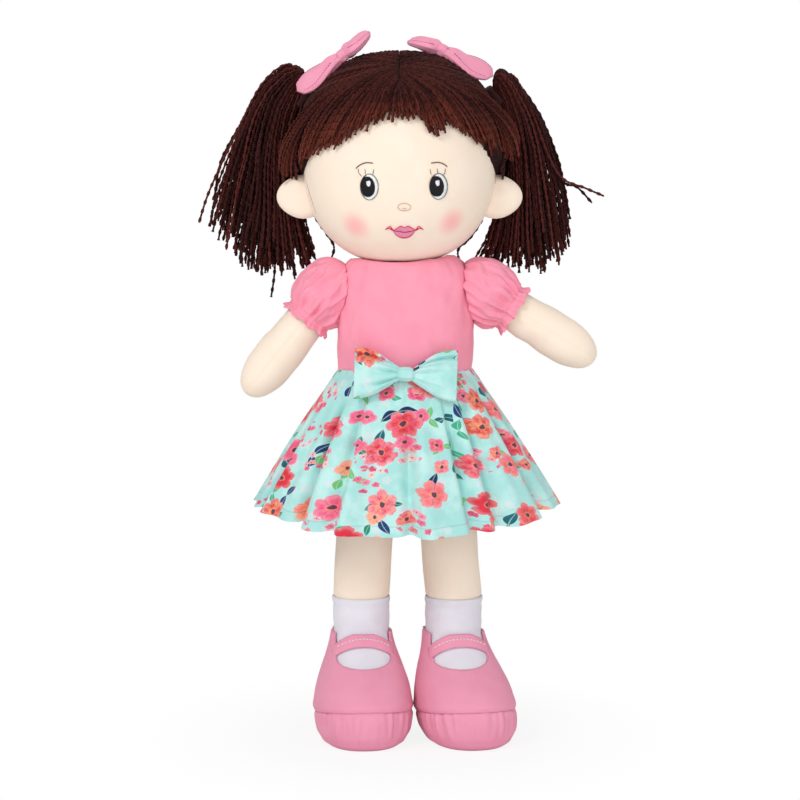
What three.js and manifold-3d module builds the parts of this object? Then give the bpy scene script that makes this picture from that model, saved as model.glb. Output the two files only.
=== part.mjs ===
// A soft stuffed rag doll with yarn pigtails, a puff sleeved bodice, a flared skirt, socks and strap shoes.
// Millimetres, Z up. The doll faces -Y, its left is +X, and the origin is on the floor between the feet.
import * as THREE from "three";
import { mergeVertices } from "three/addons/utils/BufferGeometryUtils.js";
import Module from "manifold-3d";

const wasm = await Module();
wasm.setup();

// Cloth, fillings and the gap between pieces that lie on each other
const CLOTH = 1.2;
const SKIN = 1.4;
const GAP = 0.3;
const SEAM_ROLL = 1.2; // half the thickness of a limb where it is sewn flat
const seamNoseShare = 0.7; // how far that flat edge rounds over, of its half thickness
const seamNoseWidthShare = 0.97; // the rounded edge's width, of the seam's
const cavityStartShare = 1 / 3; // where a limb's filling starts, of the length it fills out over
const OVERRUN = 20; // how far a cutting solid runs past what it cuts

// Head, a ball that is fuller than an ellipsoid
const HEAD_HALF_WIDTH = 61;
const HEAD_HALF_DEPTH = 52;
const HEAD_HALF_HEIGHT = 63;
const HEAD_RISE = 57; // the middle of the head above the shoulders
const HEAD_FULLNESS_SHARE = 2.2; // power of its outline, where 2 is an ellipse
const HEAD_SHIFT = 3.8; // how far the head sits to the doll's right of the neck

// Ears
const EAR_HALF_HEIGHT = 14;
const EAR_HALF_DEPTH = 5.5;
const EAR_REACH = 78; // from the middle of the head to the ear's tip
const EAR_LENGTH = 33;
const EAR_DROP = 20; // below the middle of the head

// Hair cap, the arch it leaves open for the face, and the fringe below the arch
const HAIR_THICKNESS = 8;
const HAIR_SIDE_THICKNESS = 6.5;
const ARCH_HALF_WIDTH = 68.5;
const ARCH_HALF_HEIGHT = 65;
const ARCH_DROP = 27; // the arch's middle below the middle of the head
const HAIR_BEHIND_EAR = 9;
const NAPE_DROP = 47;
const NAPE_RISE = 22; // how much higher the hair ends behind the ear than at the nape
const FRINGE_THICKNESS = 3.2;
const FRINGE_LENGTH = 9;
const FRINGE_TUFT = 3;
const fringeTufts = 14;

// Hair ties and pigtails
const TIE_ACROSS = 57;
const TIE_BACK = 14;
const TIE_RISE = 41; // above the middle of the head
const TIE_LENGTH = 6.5;
const TIE_RADIUS = 6.8;
const TIE_BEAD = 1.2; // how far the wound elastic stands out
const beadShares = [1 / 4, 1 / 3, 2 / 3, 3 / 4]; // where it rises and falls, of half the tie's length
const TIE_TILT_DEG = 34; // above level
const PIGTAIL_ROOT = 6;
const rootCapShares = [0.98, 0.7]; // how far out the root's end and its first ring lie
const PIGTAIL_OUT = 24; // how far its fall hangs outside its root
const PIGTAIL_LIFT = 8;
const PIGTAIL_BACK = 12;
const PIGTAIL_FALL = 100;
const PIGTAIL_HALF_WIDTH = 28;
const PIGTAIL_HALF_DEPTH = 16.5;
const PIGTAIL_LOCK = 1.7; // how deep the furrows between its locks are
const PIGTAIL_TIP = 7; // how uneven its cut ends are
const pigtailLocks = 7;

// Hair bows, each a stuffed double wing gathered by a band
const HAIR_BOW_HALF_LENGTH = 36;
const innerWingShare = 0.64; // the inner wing's length, of the outer one's
const BAND_TILT_DEG = 14; // how far the bow's front edge is turned down at the band
const WING_TILT_DEG = 38; // and at the outer wing's tip
const HAIR_BOW_HALF_WIDTH = 11;
const HAIR_BOW_HALF_THICKNESS = 4;
const HAIR_BOW_WAIST = 4.2; // half width at the band
const HAIR_BOW_BAND_WIDTH = 8;
const HAIR_BOW_BAND_CLOTH = 1;
const bandHoleShares = [0.5, 0.72]; // the band's inside, of the bow's half width and half thickness
const RIGHT_BOW_FORWARD = 8; // of the middle of the head
const RIGHT_BOW_PAD = 0.8; // between its band and the hair
const RIGHT_BOW_BACK = 5; // how far its inner wing bends back
const RIGHT_BOW_UP = 1.5; // and up
const LEFT_BOW_FORWARD = 6;
const LEFT_BOW_BACK = 9;
const LEFT_BOW_DOWN = 4; // how far its inner wing bends down, along the head
const bandFullnessShare = 2.6;

// Neck, a stuffed stub whose round top sits in the head
const NECK_PIVOT_RISE = 7; // above the shoulders
const NECK_BALL = 14;
const NECK_RADIUS = 12;
const NECK_FOOT_RADIUS = 20;
const NECK_FOOT_THICKNESS = 2.4;
const NECK_HOLE_RADIUS = 17.5; // the head's opening at its underside
const HEAD_ROOM = 4.9; // between the head and the shoulders

// Body, sewn flat along its lower edge, and the bodice over it
const HIP_HEIGHT = 195;
const WAIST_HEIGHT = 237;
const SHOULDER_TOP_HEIGHT = 309;
const BODY_HALF_WIDTH = 42;
const BODY_HALF_DEPTH = 30;
const BODY_FULLNESS_SHARE = 2.2;
const BODY_WEDGE = 40; // height over which the body fills out above its flat seam

// Arms and puff sleeves
const SHOULDER_ACROSS = 47;
const SHOULDER_HEIGHT = 288;
const ARM_LENGTH = 87;
const ARM_RADIUS = 14.2;
const UPPER_ARM_RADIUS = 12.4;
const HAND_TAPER = 27; // over which the arm rounds off to the hand's tip
const HAND_FULLNESS_SHARE = 2.15;
const ARM_WEDGE = 22; // length over which the arm fills out from its flat seam
const ARM_SEAM_HALF_WIDTH = 12.5;
const FILLING_SLIT_LENGTH = 10; // where the arm is stuffed and sewn shut
const FILLING_SLIT_WIDTH = 1.2;
const slitPlaceShare = 0.75; // of the length that the arm fills out over
const upperArmShares = [0.2, 0.6]; // where the arm widens, of its length
const foreArmShares = [0.33, 0.67, 1]; // where its rings lie between the wedge and the hand
const RIGHT_ARM_DROP_DEG = 51; // below level, as it hangs
const LEFT_ARM_DROP_DEG = 32;
const SEAM_TAB_RADIUS = 4;
const SEAM_TAB_LENGTH = 8;
const tabDiscShare = 1.3; // its sewn end's radius, of the tab's
const SLEEVE_RADIUS = 20.5;
const SLEEVE_CAP = 18.5; // how far the puff rises past the shoulder point
const SLEEVE_LENGTH = 23; // shoulder point to elastic
const RUFFLE_LENGTH = 5.2;
const RUFFLE_FLARE = 1.8;
const ELASTIC_WIDTH = 4;
const ELASTIC_THICKNESS = 0.8;

// Legs
const HIP_ACROSS = 22.7;
const RIGHT_ANKLE_ACROSS = 28.5;
const LEFT_ANKLE_ACROSS = 31;
const LEG_RADIUS = 18;
const LEG_WEDGE = 30;
const LEG_SEAM_HALF_WIDTH = 18.6;
const SOCK_TOP_HEIGHT = 90;

// Feet and shoes, given as one outline that narrows upwards
const SHOE_HEIGHT = 68;
const SHOE_HALF_WIDTH = 31.8;
const SHOE_TOE = 58; // ankle to toe
const SHOE_HEEL = 25;
const SHOE_CLOTH = 1.6;
const SHOE_FULLNESS_SHARE = 2.3;
const TOE_SEAM_HEIGHT = 26;
const HEEL_SEAM_HEIGHT = 12;
const SEAM_OPENING = 0.4;
const STRAP_WIDTH = 8.5;
const STRAP_FRONT = 19; // the strap's middle, ahead of the ankle
const STRAP_HEIGHT = 61;
const INSTEP_SLOPE_DEG = 42; // how steeply the instep falls
const OPENING_HALF_WIDTH = 18;
const OPENING_LENGTH = 30;
const RIGHT_FOOT_TURN_DEG = 5; // both toes point a little to the doll's left
const LEFT_FOOT_TURN_DEG = 11;
const LEFT_FOOT_LEAN = 6; // how far the left sole stands outside its ankle

// Skirt and its bow
const HEM_HEIGHT = 138;
const HEM_SIDE_RISE = 13; // how much higher the hem hangs at the doll's sides
const HEM_HALF_WIDTH = 97;
const HEM_HALF_DEPTH = 73;
const FOLD_DEPTH = 4.4;
const PLEAT_DEPTH = 9;
const PLEAT_HALF_ANGLE_DEG = 9;
const flarePowerShare = 0.94; // under 1, the skirt leaves the waist a little faster than a cone
const gatherShare = 1 / 3; // of the skirt's height, over which the folds open below the waist
const foldStartShare = -0.2;
const WAIST_BOW_HALF_LENGTH = 32;
const WAIST_BOW_HALF_HEIGHT = 15.5;
const WAIST_BOW_HALF_THICKNESS = 4.6;
const WAIST_BOW_NECK = 4; // half height where the knot holds it
const KNOT_HALF_WIDTH = 5.5;
const KNOT_HALF_HEIGHT = 4.4;
const KNOT_HALF_DEPTH = 5.2;
const WAIST_BOW_DROP = 3; // below the waist
const WAIST_BOW_LEAN_DEG = 12;
const loopFullnessShare = 2.4;
const knotFullnessShare = 2.8;

// How finely the pieces are faceted
const headSides = 28;
const headRows = 11;
const fillingSides = 16;
const fillingRows = 8;
const bodySides = 20;
const hollowRows = 6;
const armSides = 16;
const armFillingSides = 10;
const sleeveSides = 16;
const legSides = 16;
const skirtSides = 56; // a multiple of four, so that a line of corners runs down the pleat
const skirtRows = 5;
const bowSides = 12;
const pigtailSides = 28;

// The two sides of the doll and how each is posed
const sides = [
  {
    name: "right",
    sign: -1,
    armDrop: RIGHT_ARM_DROP_DEG,
    ankle: RIGHT_ANKLE_ACROSS,
    footTurn: RIGHT_FOOT_TURN_DEG,
    footLean: 0,
    hairShare: 1,
  },
  {
    name: "left",
    sign: 1,
    armDrop: LEFT_ARM_DROP_DEG,
    ankle: LEFT_ANKLE_ACROSS,
    footTurn: LEFT_FOOT_TURN_DEG,
    footLean: LEFT_FOOT_LEAN,
    hairShare: 0.88,
  },
];

// Finishes
const skinKnit = { color: 0xf4dcc2, roughness: 0.9 };
const stuffing = { color: 0xf5f3ee, roughness: 1 };
const yarn = { color: 0x4a1d17, roughness: 0.95 };
const fringeYarn = { color: 0x6b2f20, roughness: 0.95 };
const pinkCloth = { color: 0xf08fb0, roughness: 0.85 };
const pinkFelt = { color: 0xec86ab, roughness: 0.9 };
const printedCotton = { color: 0x9fe0d2, roughness: 0.85 };
const whiteKnit = { color: 0xeeecf2, roughness: 0.9 };
const elastic = { color: 0xf7f7f5, roughness: 0.8 };

// Heights that go with the shoulders and the waist
const headHeight = SHOULDER_TOP_HEIGHT + HEAD_RISE;
const neckPivotHeight = SHOULDER_TOP_HEIGHT + NECK_PIVOT_RISE;
const waistBowHeight = WAIST_HEIGHT - WAIST_BOW_DROP;

const doll = new THREE.Group();
const { lerp, degToRad, smoothstep } = THREE.MathUtils;
const vector = (x, y, z) => new THREE.Vector3(x, y, z);
const bulge = (value, power) => Math.sign(value) * Math.abs(value) ** (2 / power);

// Solids

function solidOf(geometry) {
  geometry.deleteAttribute("normal");
  geometry.deleteAttribute("uv");
  const merged = mergeVertices(geometry);
  const corners = [];
  for (let i = 0; i < merged.index.count; i += 3) {
    const [a, b, c] = [0, 1, 2].map((k) => merged.index.getX(i + k));
    if (a !== b && b !== c && c !== a) corners.push(a, b, c);
  }
  const vertProperties = merged.attributes.position.array;
  return new wasm.Manifold(new wasm.Mesh({ numProp: 3, vertProperties, triVerts: new Uint32Array(corners) }));
}

function moved(solid, matrix) {
  return solid.transform(matrix.elements);
}

function addPiece(parent, name, solid, finish) {
  const { numProp, vertProperties, triVerts } = solid.getMesh();
  const geometry = new THREE.BufferGeometry();
  geometry.setAttribute("position", new THREE.BufferAttribute(vertProperties, numProp));
  geometry.setIndex(new THREE.BufferAttribute(triVerts, 1));
  geometry.computeVertexNormals();
  const mesh = new THREE.Mesh(geometry, new THREE.MeshStandardMaterial(finish));
  mesh.name = name;
  parent.add(mesh);
}

function addGroup(parent, position) {
  const group = new THREE.Group();
  group.position.copy(position);
  parent.add(group);
  return group;
}

// Stretches a lathe over a row of rings. Each ring is a function that gives its point for an angle round it,
// and the row runs so that the angle turns to the left about its direction of travel.
function skinned(rings, sideCount) {
  const guide = rings.map((ring, row) => new THREE.Vector2(1, row));
  const geometry = new THREE.LatheGeometry(guide, sideCount);
  const { position } = geometry.attributes;
  for (let i = 0; i < position.count; i++) {
    const angle = Math.atan2(position.getX(i), position.getZ(i));
    const point = rings[Math.round(position.getY(i))](angle);
    position.setXYZ(i, point.x, point.y, point.z);
  }
  return solidOf(geometry);
}

const ring = (centre, across, deep, power = 2) => (angle) =>
  centre
    .clone()
    .addScaledVector(across, bulge(Math.cos(angle), power))
    .addScaledVector(deep, bulge(Math.sin(angle), power));

const closedTo = (point) => () => point;

// A level ring about the Z axis
const levelRing = (height, halfWidth, halfDepth, power) =>
  ring(vector(0, 0, height), vector(halfWidth, 0, 0), vector(0, halfDepth, 0), power);

// Reads a table of rows that start with a share from 0 to 1, with smooth steps between its rows
function readShares(table, share) {
  const next = Math.min(Math.max(table.findIndex((row) => row[0] > share), 1), table.length - 1);
  const [before, after] = share >= table.at(-1)[0] ? table.slice(-2) : table.slice(next - 1, next + 1);
  const step = THREE.MathUtils.clamp((share - before[0]) / (after[0] - before[0]), 0, 1);
  return before.slice(1).map((value, column) => lerp(value, after[column + 1], step));
}

function ball(radius, centre, sideCount) {
  const geometry = new THREE.SphereGeometry(radius, sideCount, sideCount / 2);
  return solidOf(geometry.rotateX(Math.PI / 2).translate(centre.x, centre.y, centre.z));
}

function box(halfX, halfY, halfZ, centre) {
  const geometry = new THREE.BoxGeometry(2 * halfX, 2 * halfY, 2 * halfZ);
  return solidOf(geometry.translate(centre.x, centre.y, centre.z));
}

function turned(profile, sideCount) {
  const points = profile.map(([radius, height]) => new THREE.Vector2(radius, height));
  return solidOf(new THREE.LatheGeometry(points, sideCount).rotateX(Math.PI / 2));
}

// Head, in a group about its own middle

const head = addGroup(doll, vector(-HEAD_SHIFT, 0, headHeight));
const neckPivot = vector(HEAD_SHIFT, 0, neckPivotHeight - headHeight);

// The head's rows from the chin up, as shares of its half width and of its half height
function headShares(rows) {
  const latitudes = Array.from({ length: rows + 1 }, (_, row) => (row / rows - 0.5) * Math.PI);
  return latitudes.map((latitude) => [
    bulge(Math.cos(latitude), HEAD_FULLNESS_SHARE),
    bulge(Math.sin(latitude), HEAD_FULLNESS_SHARE),
  ]);
}

function headForm(growAcross, growUp, sideCount, rows, halfDepth = HEAD_HALF_DEPTH) {
  const rings = headShares(rows).map(([reach, rise]) =>
    levelRing(
      (HEAD_HALF_HEIGHT + growUp) * rise,
      (HEAD_HALF_WIDTH + growAcross) * reach,
      (halfDepth + growAcross) * reach,
    ),
  );
  return skinned(rings, sideCount);
}

// The room that the neck needs as the head nods
function neckRoom() {
  const depth = HEAD_HALF_HEIGHT + neckPivot.z + OVERRUN;
  const socket = (NECK_BALL + GAP) / Math.cos(Math.PI / fillingSides);
  const flare = ((NECK_HOLE_RADIUS - socket) / (HEAD_HALF_HEIGHT + neckPivot.z)) * depth;
  const cone = turned([[0, -depth], [socket + flare, -depth], [socket, 0], [0, 0]], fillingSides);
  return ball(socket, vector(0, 0, 0), fillingSides)
    .add(cone)
    .translate(neckPivot.toArray());
}

const headSurface = headForm(0, 0, headSides, headRows);
const headClear = headForm(GAP, GAP, headSides, headRows);
const headCavity = headForm(-SKIN, -SKIN, fillingSides, fillingRows);
const headFilling = headForm(-SKIN - GAP, -SKIN - GAP, fillingSides, fillingRows);
addPiece(head, "head_skin", headSurface.subtract(headCavity).subtract(neckRoom()), skinKnit);
addPiece(head, "head_stuffing", headFilling.subtract(neckRoom()), stuffing);

// Hair

const hairSurface = headForm(HAIR_SIDE_THICKNESS + GAP, HAIR_THICKNESS + GAP, headSides, headRows);
const hairClear = headForm(HAIR_SIDE_THICKNESS + 2 * GAP, HAIR_THICKNESS + 2 * GAP, headSides, headRows);

// The face opening: an arch that runs down past the chin, as a prism from the front back to the ears
function archPrism(shrink, tuft, back) {
  const outline = new THREE.Shape();
  const halfWidth = ARCH_HALF_WIDTH - shrink;
  const halfHeight = ARCH_HALF_HEIGHT - shrink;
  const steps = tuft ? fringeTufts * 2 : fringeTufts;
  outline.moveTo(-halfWidth, -HEAD_HALF_HEIGHT - OVERRUN);
  outline.lineTo(halfWidth, -HEAD_HALF_HEIGHT - OVERRUN);
  for (let step = 0; step <= steps; step++) {
    const angle = (step / steps) * Math.PI;
    const cut = step % 2 ? tuft : 0;
    outline.lineTo((halfWidth - cut) * Math.cos(angle), (halfHeight - cut) * Math.sin(angle) - ARCH_DROP);
  }
  outline.closePath();
  const depth = HEAD_HALF_DEPTH + OVERRUN + back;
  const geometry = new THREE.ExtrudeGeometry(outline, { depth, bevelEnabled: false, steps: 1 });
  return solidOf(geometry.rotateX(Math.PI / 2).translate(0, back, 0));
}

// The hair ends along a slope from behind the ear down to the nape
function napeCut() {
  const length = HEAD_HALF_DEPTH + OVERRUN;
  const depth = HEAD_HALF_HEIGHT + OVERRUN;
  const outline = new THREE.Shape();
  outline.moveTo(-length, NAPE_RISE - NAPE_DROP);
  outline.lineTo(HAIR_BEHIND_EAR, NAPE_RISE - NAPE_DROP);
  outline.lineTo(HEAD_HALF_DEPTH, -NAPE_DROP);
  outline.lineTo(length, -NAPE_DROP);
  outline.lineTo(length, -depth);
  outline.lineTo(-length, -depth);
  outline.closePath();
  const width = 2 * (HEAD_HALF_WIDTH + OVERRUN);
  const geometry = new THREE.ExtrudeGeometry(outline, { depth: width, bevelEnabled: false, steps: 1 });
  return solidOf(geometry.rotateX(Math.PI / 2).rotateZ(Math.PI / 2).translate(-width / 2, 0, 0));
}

const hairShell = hairSurface.subtract(headClear);
addPiece(head, "hair_cap", hairShell.subtract(archPrism(0, 0, HAIR_BEHIND_EAR)).subtract(napeCut()), yarn);

const fringeOuter = headForm(FRINGE_THICKNESS + GAP, FRINGE_THICKNESS + GAP, headSides, headRows);
const underFringe = vector(0, 0, -HEAD_HALF_HEIGHT);
const fringe = fringeOuter
  .subtract(headClear)
  .intersect(archPrism(GAP, 0, -EAR_HALF_DEPTH - 2 * GAP))
  .subtract(archPrism(FRINGE_LENGTH, FRINGE_TUFT, 0))
  .subtract(box(HEAD_HALF_WIDTH + OVERRUN, HEAD_HALF_DEPTH + OVERRUN, HEAD_HALF_HEIGHT, underFringe));
addPiece(head, "fringe", fringe, fringeYarn);

function ear(sign) {
  const geometry = new THREE.SphereGeometry(1, bowSides, bowSides / 2);
  geometry.scale(EAR_LENGTH / 2, EAR_HALF_DEPTH, EAR_HALF_HEIGHT);
  geometry.translate(sign * (EAR_REACH - EAR_LENGTH / 2), 0, -EAR_DROP);
  const hairHere = hairClear.subtract(archPrism(GAP, 0, HAIR_BEHIND_EAR));
  return solidOf(geometry).subtract(headClear).subtract(hairHere);
}

function hairTie(place, outwards) {
  const bead = beadShares.map((share, i) => [TIE_RADIUS + (i % 3 ? TIE_BEAD : 0), TIE_LENGTH * share]);
  const ends = [[TIE_RADIUS, TIE_LENGTH], [0, TIE_LENGTH]];
  const profile = [[0, -TIE_LENGTH], [TIE_RADIUS, -TIE_LENGTH], ...bead, ...ends];
  const turn = new THREE.Quaternion().setFromUnitVectors(vector(0, 0, 1), outwards);
  const matrix = new THREE.Matrix4().compose(place, turn, vector(1, 1, 1));
  return moved(turned(profile, fillingSides), matrix).subtract(hairClear);
}

// A pigtail: rows of the share of its way, out, up, and its half width and depth
const pigtailShares = [
  [0, 0, 0, 0.22, 0.37],
  [0.1, 0.3, 0.55, 0.32, 0.5],
  [0.2, 0.72, 1, 0.5, 0.7],
  [0.3, 1, 0.1, 0.62, 0.84],
  [0.45, 1.06, -0.2, 0.74, 0.93],
  [0.7, 0.86, -0.6, 0.92, 1],
  [1, 0.64, -1, 1, 1],
];

function pigtail(side, pivot) {
  const point = ([share, out, up]) =>
    vector(
      side.sign * PIGTAIL_OUT * side.hairShare * out,
      PIGTAIL_BACK * smoothstep(share, 0, 0.5),
      up > 0 ? PIGTAIL_LIFT * up : PIGTAIL_FALL * up,
    ).add(pivot);
  const path = new THREE.CatmullRomCurve3(pigtailShares.map(point));
  const rows = pigtailShares.length - 1;
  const start = path.getTangent(0).negate();
  const [rootEnd, rootRing] = rootCapShares.map((share) => PIGTAIL_ROOT * share);
  const rootDeep = vector(0, rootRing, 0);
  const rings = [
    closedTo(pivot.clone().addScaledVector(start, rootEnd)),
    ring(pivot.clone().addScaledVector(start, rootRing), rootDeep.clone().cross(start).negate(), rootDeep),
  ];
  const steps = rows * 2;
  for (let i = 0; i <= steps; i++) {
    const t = i / steps;
    const along = path.getTangent(t);
    const centre = path.getPoint(t);
    const row = t * rows;
    const [from, to] = [Math.floor(row), Math.min(Math.floor(row) + 1, rows)];
    const [width, depth] = [3, 4].map((k) => lerp(pigtailShares[from][k], pigtailShares[to][k], row - from));
    const deep = vector(0, 1, 0).addScaledVector(along, -along.y).normalize();
    const across = deep.clone().cross(along);
    const lock = PIGTAIL_LOCK * smoothstep(t, 0.1, 0.5);
    const tip = PIGTAIL_TIP * smoothstep(t, 0.9, 1);
    rings.push((angle) => {
      const furrow = lock * (Math.abs(Math.sin((angle * pigtailLocks) / 2)) - 1);
      const uneven = tip * Math.sin(angle * pigtailLocks);
      return centre
        .clone()
        .addScaledVector(across, (PIGTAIL_HALF_WIDTH * side.hairShare * width + furrow) * Math.cos(angle))
        .addScaledVector(deep, (PIGTAIL_HALF_DEPTH * depth + furrow) * Math.sin(angle))
        .addScaledVector(along, uneven);
    });
  }
  rings.push(closedTo(path.getPoint(1).addScaledVector(path.getTangent(1), -PIGTAIL_TIP)));
  return skinned(rings, pigtailSides).subtract(hairClear);
}

// A stuffed bow lies along X, its thickness along Z. Rows: share of its half length, width and thickness.
const wingShares = [
  [0, 0.38, 0.5],
  [0.14, 0.42, 0.6],
  [0.4, 0.78, 0.95],
  [0.68, 1, 1],
  [0.9, 0.82, 0.72],
  [0.98, 0.5, 0.4],
];

// Between which shares of its length a wing twists from the band's tilt to its own
const twistShares = [0.15, 0.8];

function hairBow(side, bend) {
  const rings = [];
  const middle = (share, sign) => {
    const inner = sign !== side.sign;
    const length = HAIR_BOW_HALF_LENGTH * (inner ? innerWingShare : 1);
    const curve = inner ? share ** 2 : 0;
    return vector(sign * length * share, bend.back * curve, bend.up * curve);
  };
  const rowFor = ([share, width, thickness], sign) => {
    const halfWidth = share === 0 ? HAIR_BOW_WAIST : HAIR_BOW_HALF_WIDTH * width;
    const halfThickness = HAIR_BOW_HALF_THICKNESS * thickness;
    const tip = sign === side.sign ? WING_TILT_DEG : BAND_TILT_DEG;
    const tilt = degToRad(lerp(BAND_TILT_DEG, tip, smoothstep(share, ...twistShares)));
    const [level, steep] = [Math.cos(tilt), Math.sin(tilt)];
    return ring(
      middle(share, sign),
      vector(0, halfWidth * level, halfWidth * steep),
      vector(0, -halfThickness * steep, halfThickness * level),
    );
  };
  rings.push(closedTo(middle(1, -1)));
  [...wingShares].reverse().forEach((row) => rings.push(rowFor(row, -1)));
  wingShares.slice(1).forEach((row) => rings.push(rowFor(row, 1)));
  rings.push(closedTo(middle(1, 1)));
  return skinned(rings, bowSides);
}

// The inside of the band, as half sizes across and through the bow
const bandHole = [
  HAIR_BOW_HALF_WIDTH * bandHoleShares[0] + GAP,
  HAIR_BOW_HALF_THICKNESS * bandHoleShares[1] + GAP,
];

function hairBowBand(bow) {
  const tube = (half, grow) => {
    const [halfWidth, halfThickness] = bandHole.map((size) => size + grow);
    const end = (x) => closedTo(vector(x, 0, 0));
    const row = (x) =>
      ring(vector(x, 0, 0), vector(0, halfWidth, 0), vector(0, 0, halfThickness), bandFullnessShare);
    return skinned([end(-half), row(-half), row(half), end(half)], bowSides);
  };
  const half = HAIR_BOW_BAND_WIDTH / 2;
  const level = bow.rotate([-BAND_TILT_DEG, 0, 0]);
  const bowClear = level.scale([1, 1 + GAP / HAIR_BOW_WAIST, 1 + GAP / HAIR_BOW_HALF_THICKNESS]);
  const wound = tube(half, HAIR_BOW_BAND_CLOTH).subtract(tube(half + OVERRUN, 0)).subtract(bowClear);
  return wound.rotate([BAND_TILT_DEG, 0, 0]);
}

for (const side of sides) {
  addPiece(head, `ear_${side.name}`, ear(side.sign), skinKnit);
  const tilt = degToRad(TIE_TILT_DEG);
  const outwards = vector(side.sign * Math.cos(tilt), 0, Math.sin(tilt));
  const place = vector(side.sign * TIE_ACROSS, TIE_BACK, TIE_RISE);
  addPiece(head, `hair_tie_${side.name}`, hairTie(place, outwards), pinkFelt);
  const pivot = place.clone().addScaledVector(outwards, TIE_LENGTH + GAP + PIGTAIL_ROOT);
  addPiece(head, `pigtail_${side.name}`, pigtail(side, pivot), yarn);
}

// Neck and body

const bodyBottom = HIP_HEIGHT + SEAM_ROLL + GAP;
const neckSeat = headHeight - HEAD_HALF_HEIGHT - HEAD_ROOM - CLOTH - GAP;
const waistShare = (WAIST_HEIGHT - bodyBottom) / (SHOULDER_TOP_HEIGHT - bodyBottom);

// The body's outline: rows of the share of its height, of its half width and of its half depth
const bodyShares = [
  [0, 0.9, 0.97],
  [0.06, 0.96, 0.97],
  [0.12, 0.985, 0.97],
  [0.18, 1, 0.97],
  [0.26, 0.995, 0.95],
  [0.36, 0.975, 0.93],
  [0.52, 0.985, 1],
  [0.7, 1, 0.97],
  [0.8, 0.985, 0.89],
  [0.88, 0.955, 0.8],
  [0.93, 0.9, 0.72],
  [0.97, 0.81, 0.62],
  [1, 0.7, 0.5],
];

function bodyRing(share, grow) {
  const [width, depth] = readShares(bodyShares, share);
  const height = lerp(bodyBottom, SHOULDER_TOP_HEIGHT, share);
  const filled = smoothstep(height - bodyBottom, 0, BODY_WEDGE);
  const halfDepth = lerp(SEAM_ROLL, BODY_HALF_DEPTH * depth, filled);
  return levelRing(height, BODY_HALF_WIDTH * width + grow, halfDepth + grow, BODY_FULLNESS_SHARE);
}

function bodyForm(grow, fromShare, sideCount) {
  const above = bodyShares.map((row) => row[0]).filter((share) => share > fromShare);
  const shares = [fromShare, ...above];
  const middle = (share) => closedTo(vector(0, 0, lerp(bodyBottom, SHOULDER_TOP_HEIGHT, share)));
  const rings = shares.map((share) => bodyRing(share, grow));
  return skinned([middle(shares[0]), ...rings, middle(1)], sideCount);
}

// The hollow between the shoulders that the head turns and nods in
function shoulderHollow(grow) {
  const room = HEAD_ROOM + grow;
  return headForm(room, room, fillingSides, hollowRows, HEAD_HALF_WIDTH).translate([0, 0, headHeight]);
}

function upright(radius, bottom, top, sideCount) {
  return turned([[0, bottom], [radius, bottom], [radius, top], [0, top]], sideCount);
}

// A round cutter along X through both shoulders, open between them
function tabHoles() {
  const inner = SHOULDER_ACROSS - SEAM_ROLL - GAP - SEAM_TAB_LENGTH - GAP;
  const hole = (sign) =>
    upright(SEAM_TAB_RADIUS + GAP, inner, SHOULDER_ACROSS + OVERRUN, armFillingSides)
      .rotate([0, sign * 90, 0])
      .translate([0, 0, SHOULDER_HEIGHT]);
  return hole(1).add(hole(-1));
}

const neckHole = upright(NECK_FOOT_RADIUS + GAP, neckSeat, SHOULDER_TOP_HEIGHT + OVERRUN, bodySides);
const yoke = CLOTH + GAP;
const cavityShare = 0.1;
const seatRoom = (depth) =>
  upright(NECK_FOOT_RADIUS + GAP + SKIN, neckSeat - depth, SHOULDER_TOP_HEIGHT + OVERRUN, bodySides);
const bodyCavity = bodyForm(-SKIN, cavityShare, fillingSides)
  .subtract(shoulderHollow(yoke + SKIN))
  .subtract(seatRoom(SKIN));
const torsoSkin = bodyForm(0, 0, bodySides)
  .subtract(shoulderHollow(yoke))
  .subtract(neckHole)
  .subtract(bodyCavity)
  .subtract(upright(NECK_RADIUS, neckSeat - OVERRUN, neckSeat + OVERRUN, armFillingSides))
  .subtract(tabHoles());
const torsoFilling = bodyForm(-SKIN - GAP, cavityShare + GAP / BODY_WEDGE, fillingSides)
  .subtract(shoulderHollow(yoke + SKIN + GAP))
  .subtract(seatRoom(SKIN + GAP))
  .subtract(tabHoles());
const bodice = bodyForm(yoke, waistShare, bodySides)
  .subtract(shoulderHollow(0))
  .subtract(bodyForm(GAP, 0, bodySides).subtract(shoulderHollow(CLOTH)))
  .subtract(neckHole)
  .subtract(tabHoles());
addPiece(doll, "torso_skin", torsoSkin, skinKnit);
addPiece(doll, "torso_stuffing", torsoFilling, stuffing);
addPiece(doll, "bodice", bodice, pinkCloth);

function neckStub() {
  const foot = neckSeat + GAP;
  const top = foot + NECK_FOOT_THICKNESS;
  const profile = [[0, foot], [NECK_FOOT_RADIUS, foot], [NECK_FOOT_RADIUS, top], [NECK_RADIUS, top]];
  const start = -Math.acos(NECK_RADIUS / NECK_BALL);
  const steps = 5;
  for (let step = 0; step <= steps; step++) {
    const latitude = lerp(start, Math.PI / 2, step / steps);
    profile.push([NECK_BALL * Math.cos(latitude), neckPivotHeight + NECK_BALL * Math.sin(latitude)]);
  }
  return turned(profile, fillingSides);
}
addPiece(doll, "neck_stub", neckStub(), skinKnit);

// Skirt, gathered in folds with an inverted pleat at the middle of its front

// Waves round the skirt: how many, their strength, and their shift as a share of a turn
const foldShares = [
  [9, 0.6, 0.03],
  [14, 0.32, 0.4],
  [5, 0.25, 0.7],
];

function skirtHalfSizes(share) {
  const [width, depth] = readShares(bodyShares, waistShare);
  const flare = share ** flarePowerShare;
  return [
    lerp(BODY_HALF_WIDTH * width + yoke, HEM_HALF_WIDTH, flare),
    lerp(BODY_HALF_DEPTH * depth + yoke, HEM_HALF_DEPTH, flare),
  ];
}

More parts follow.
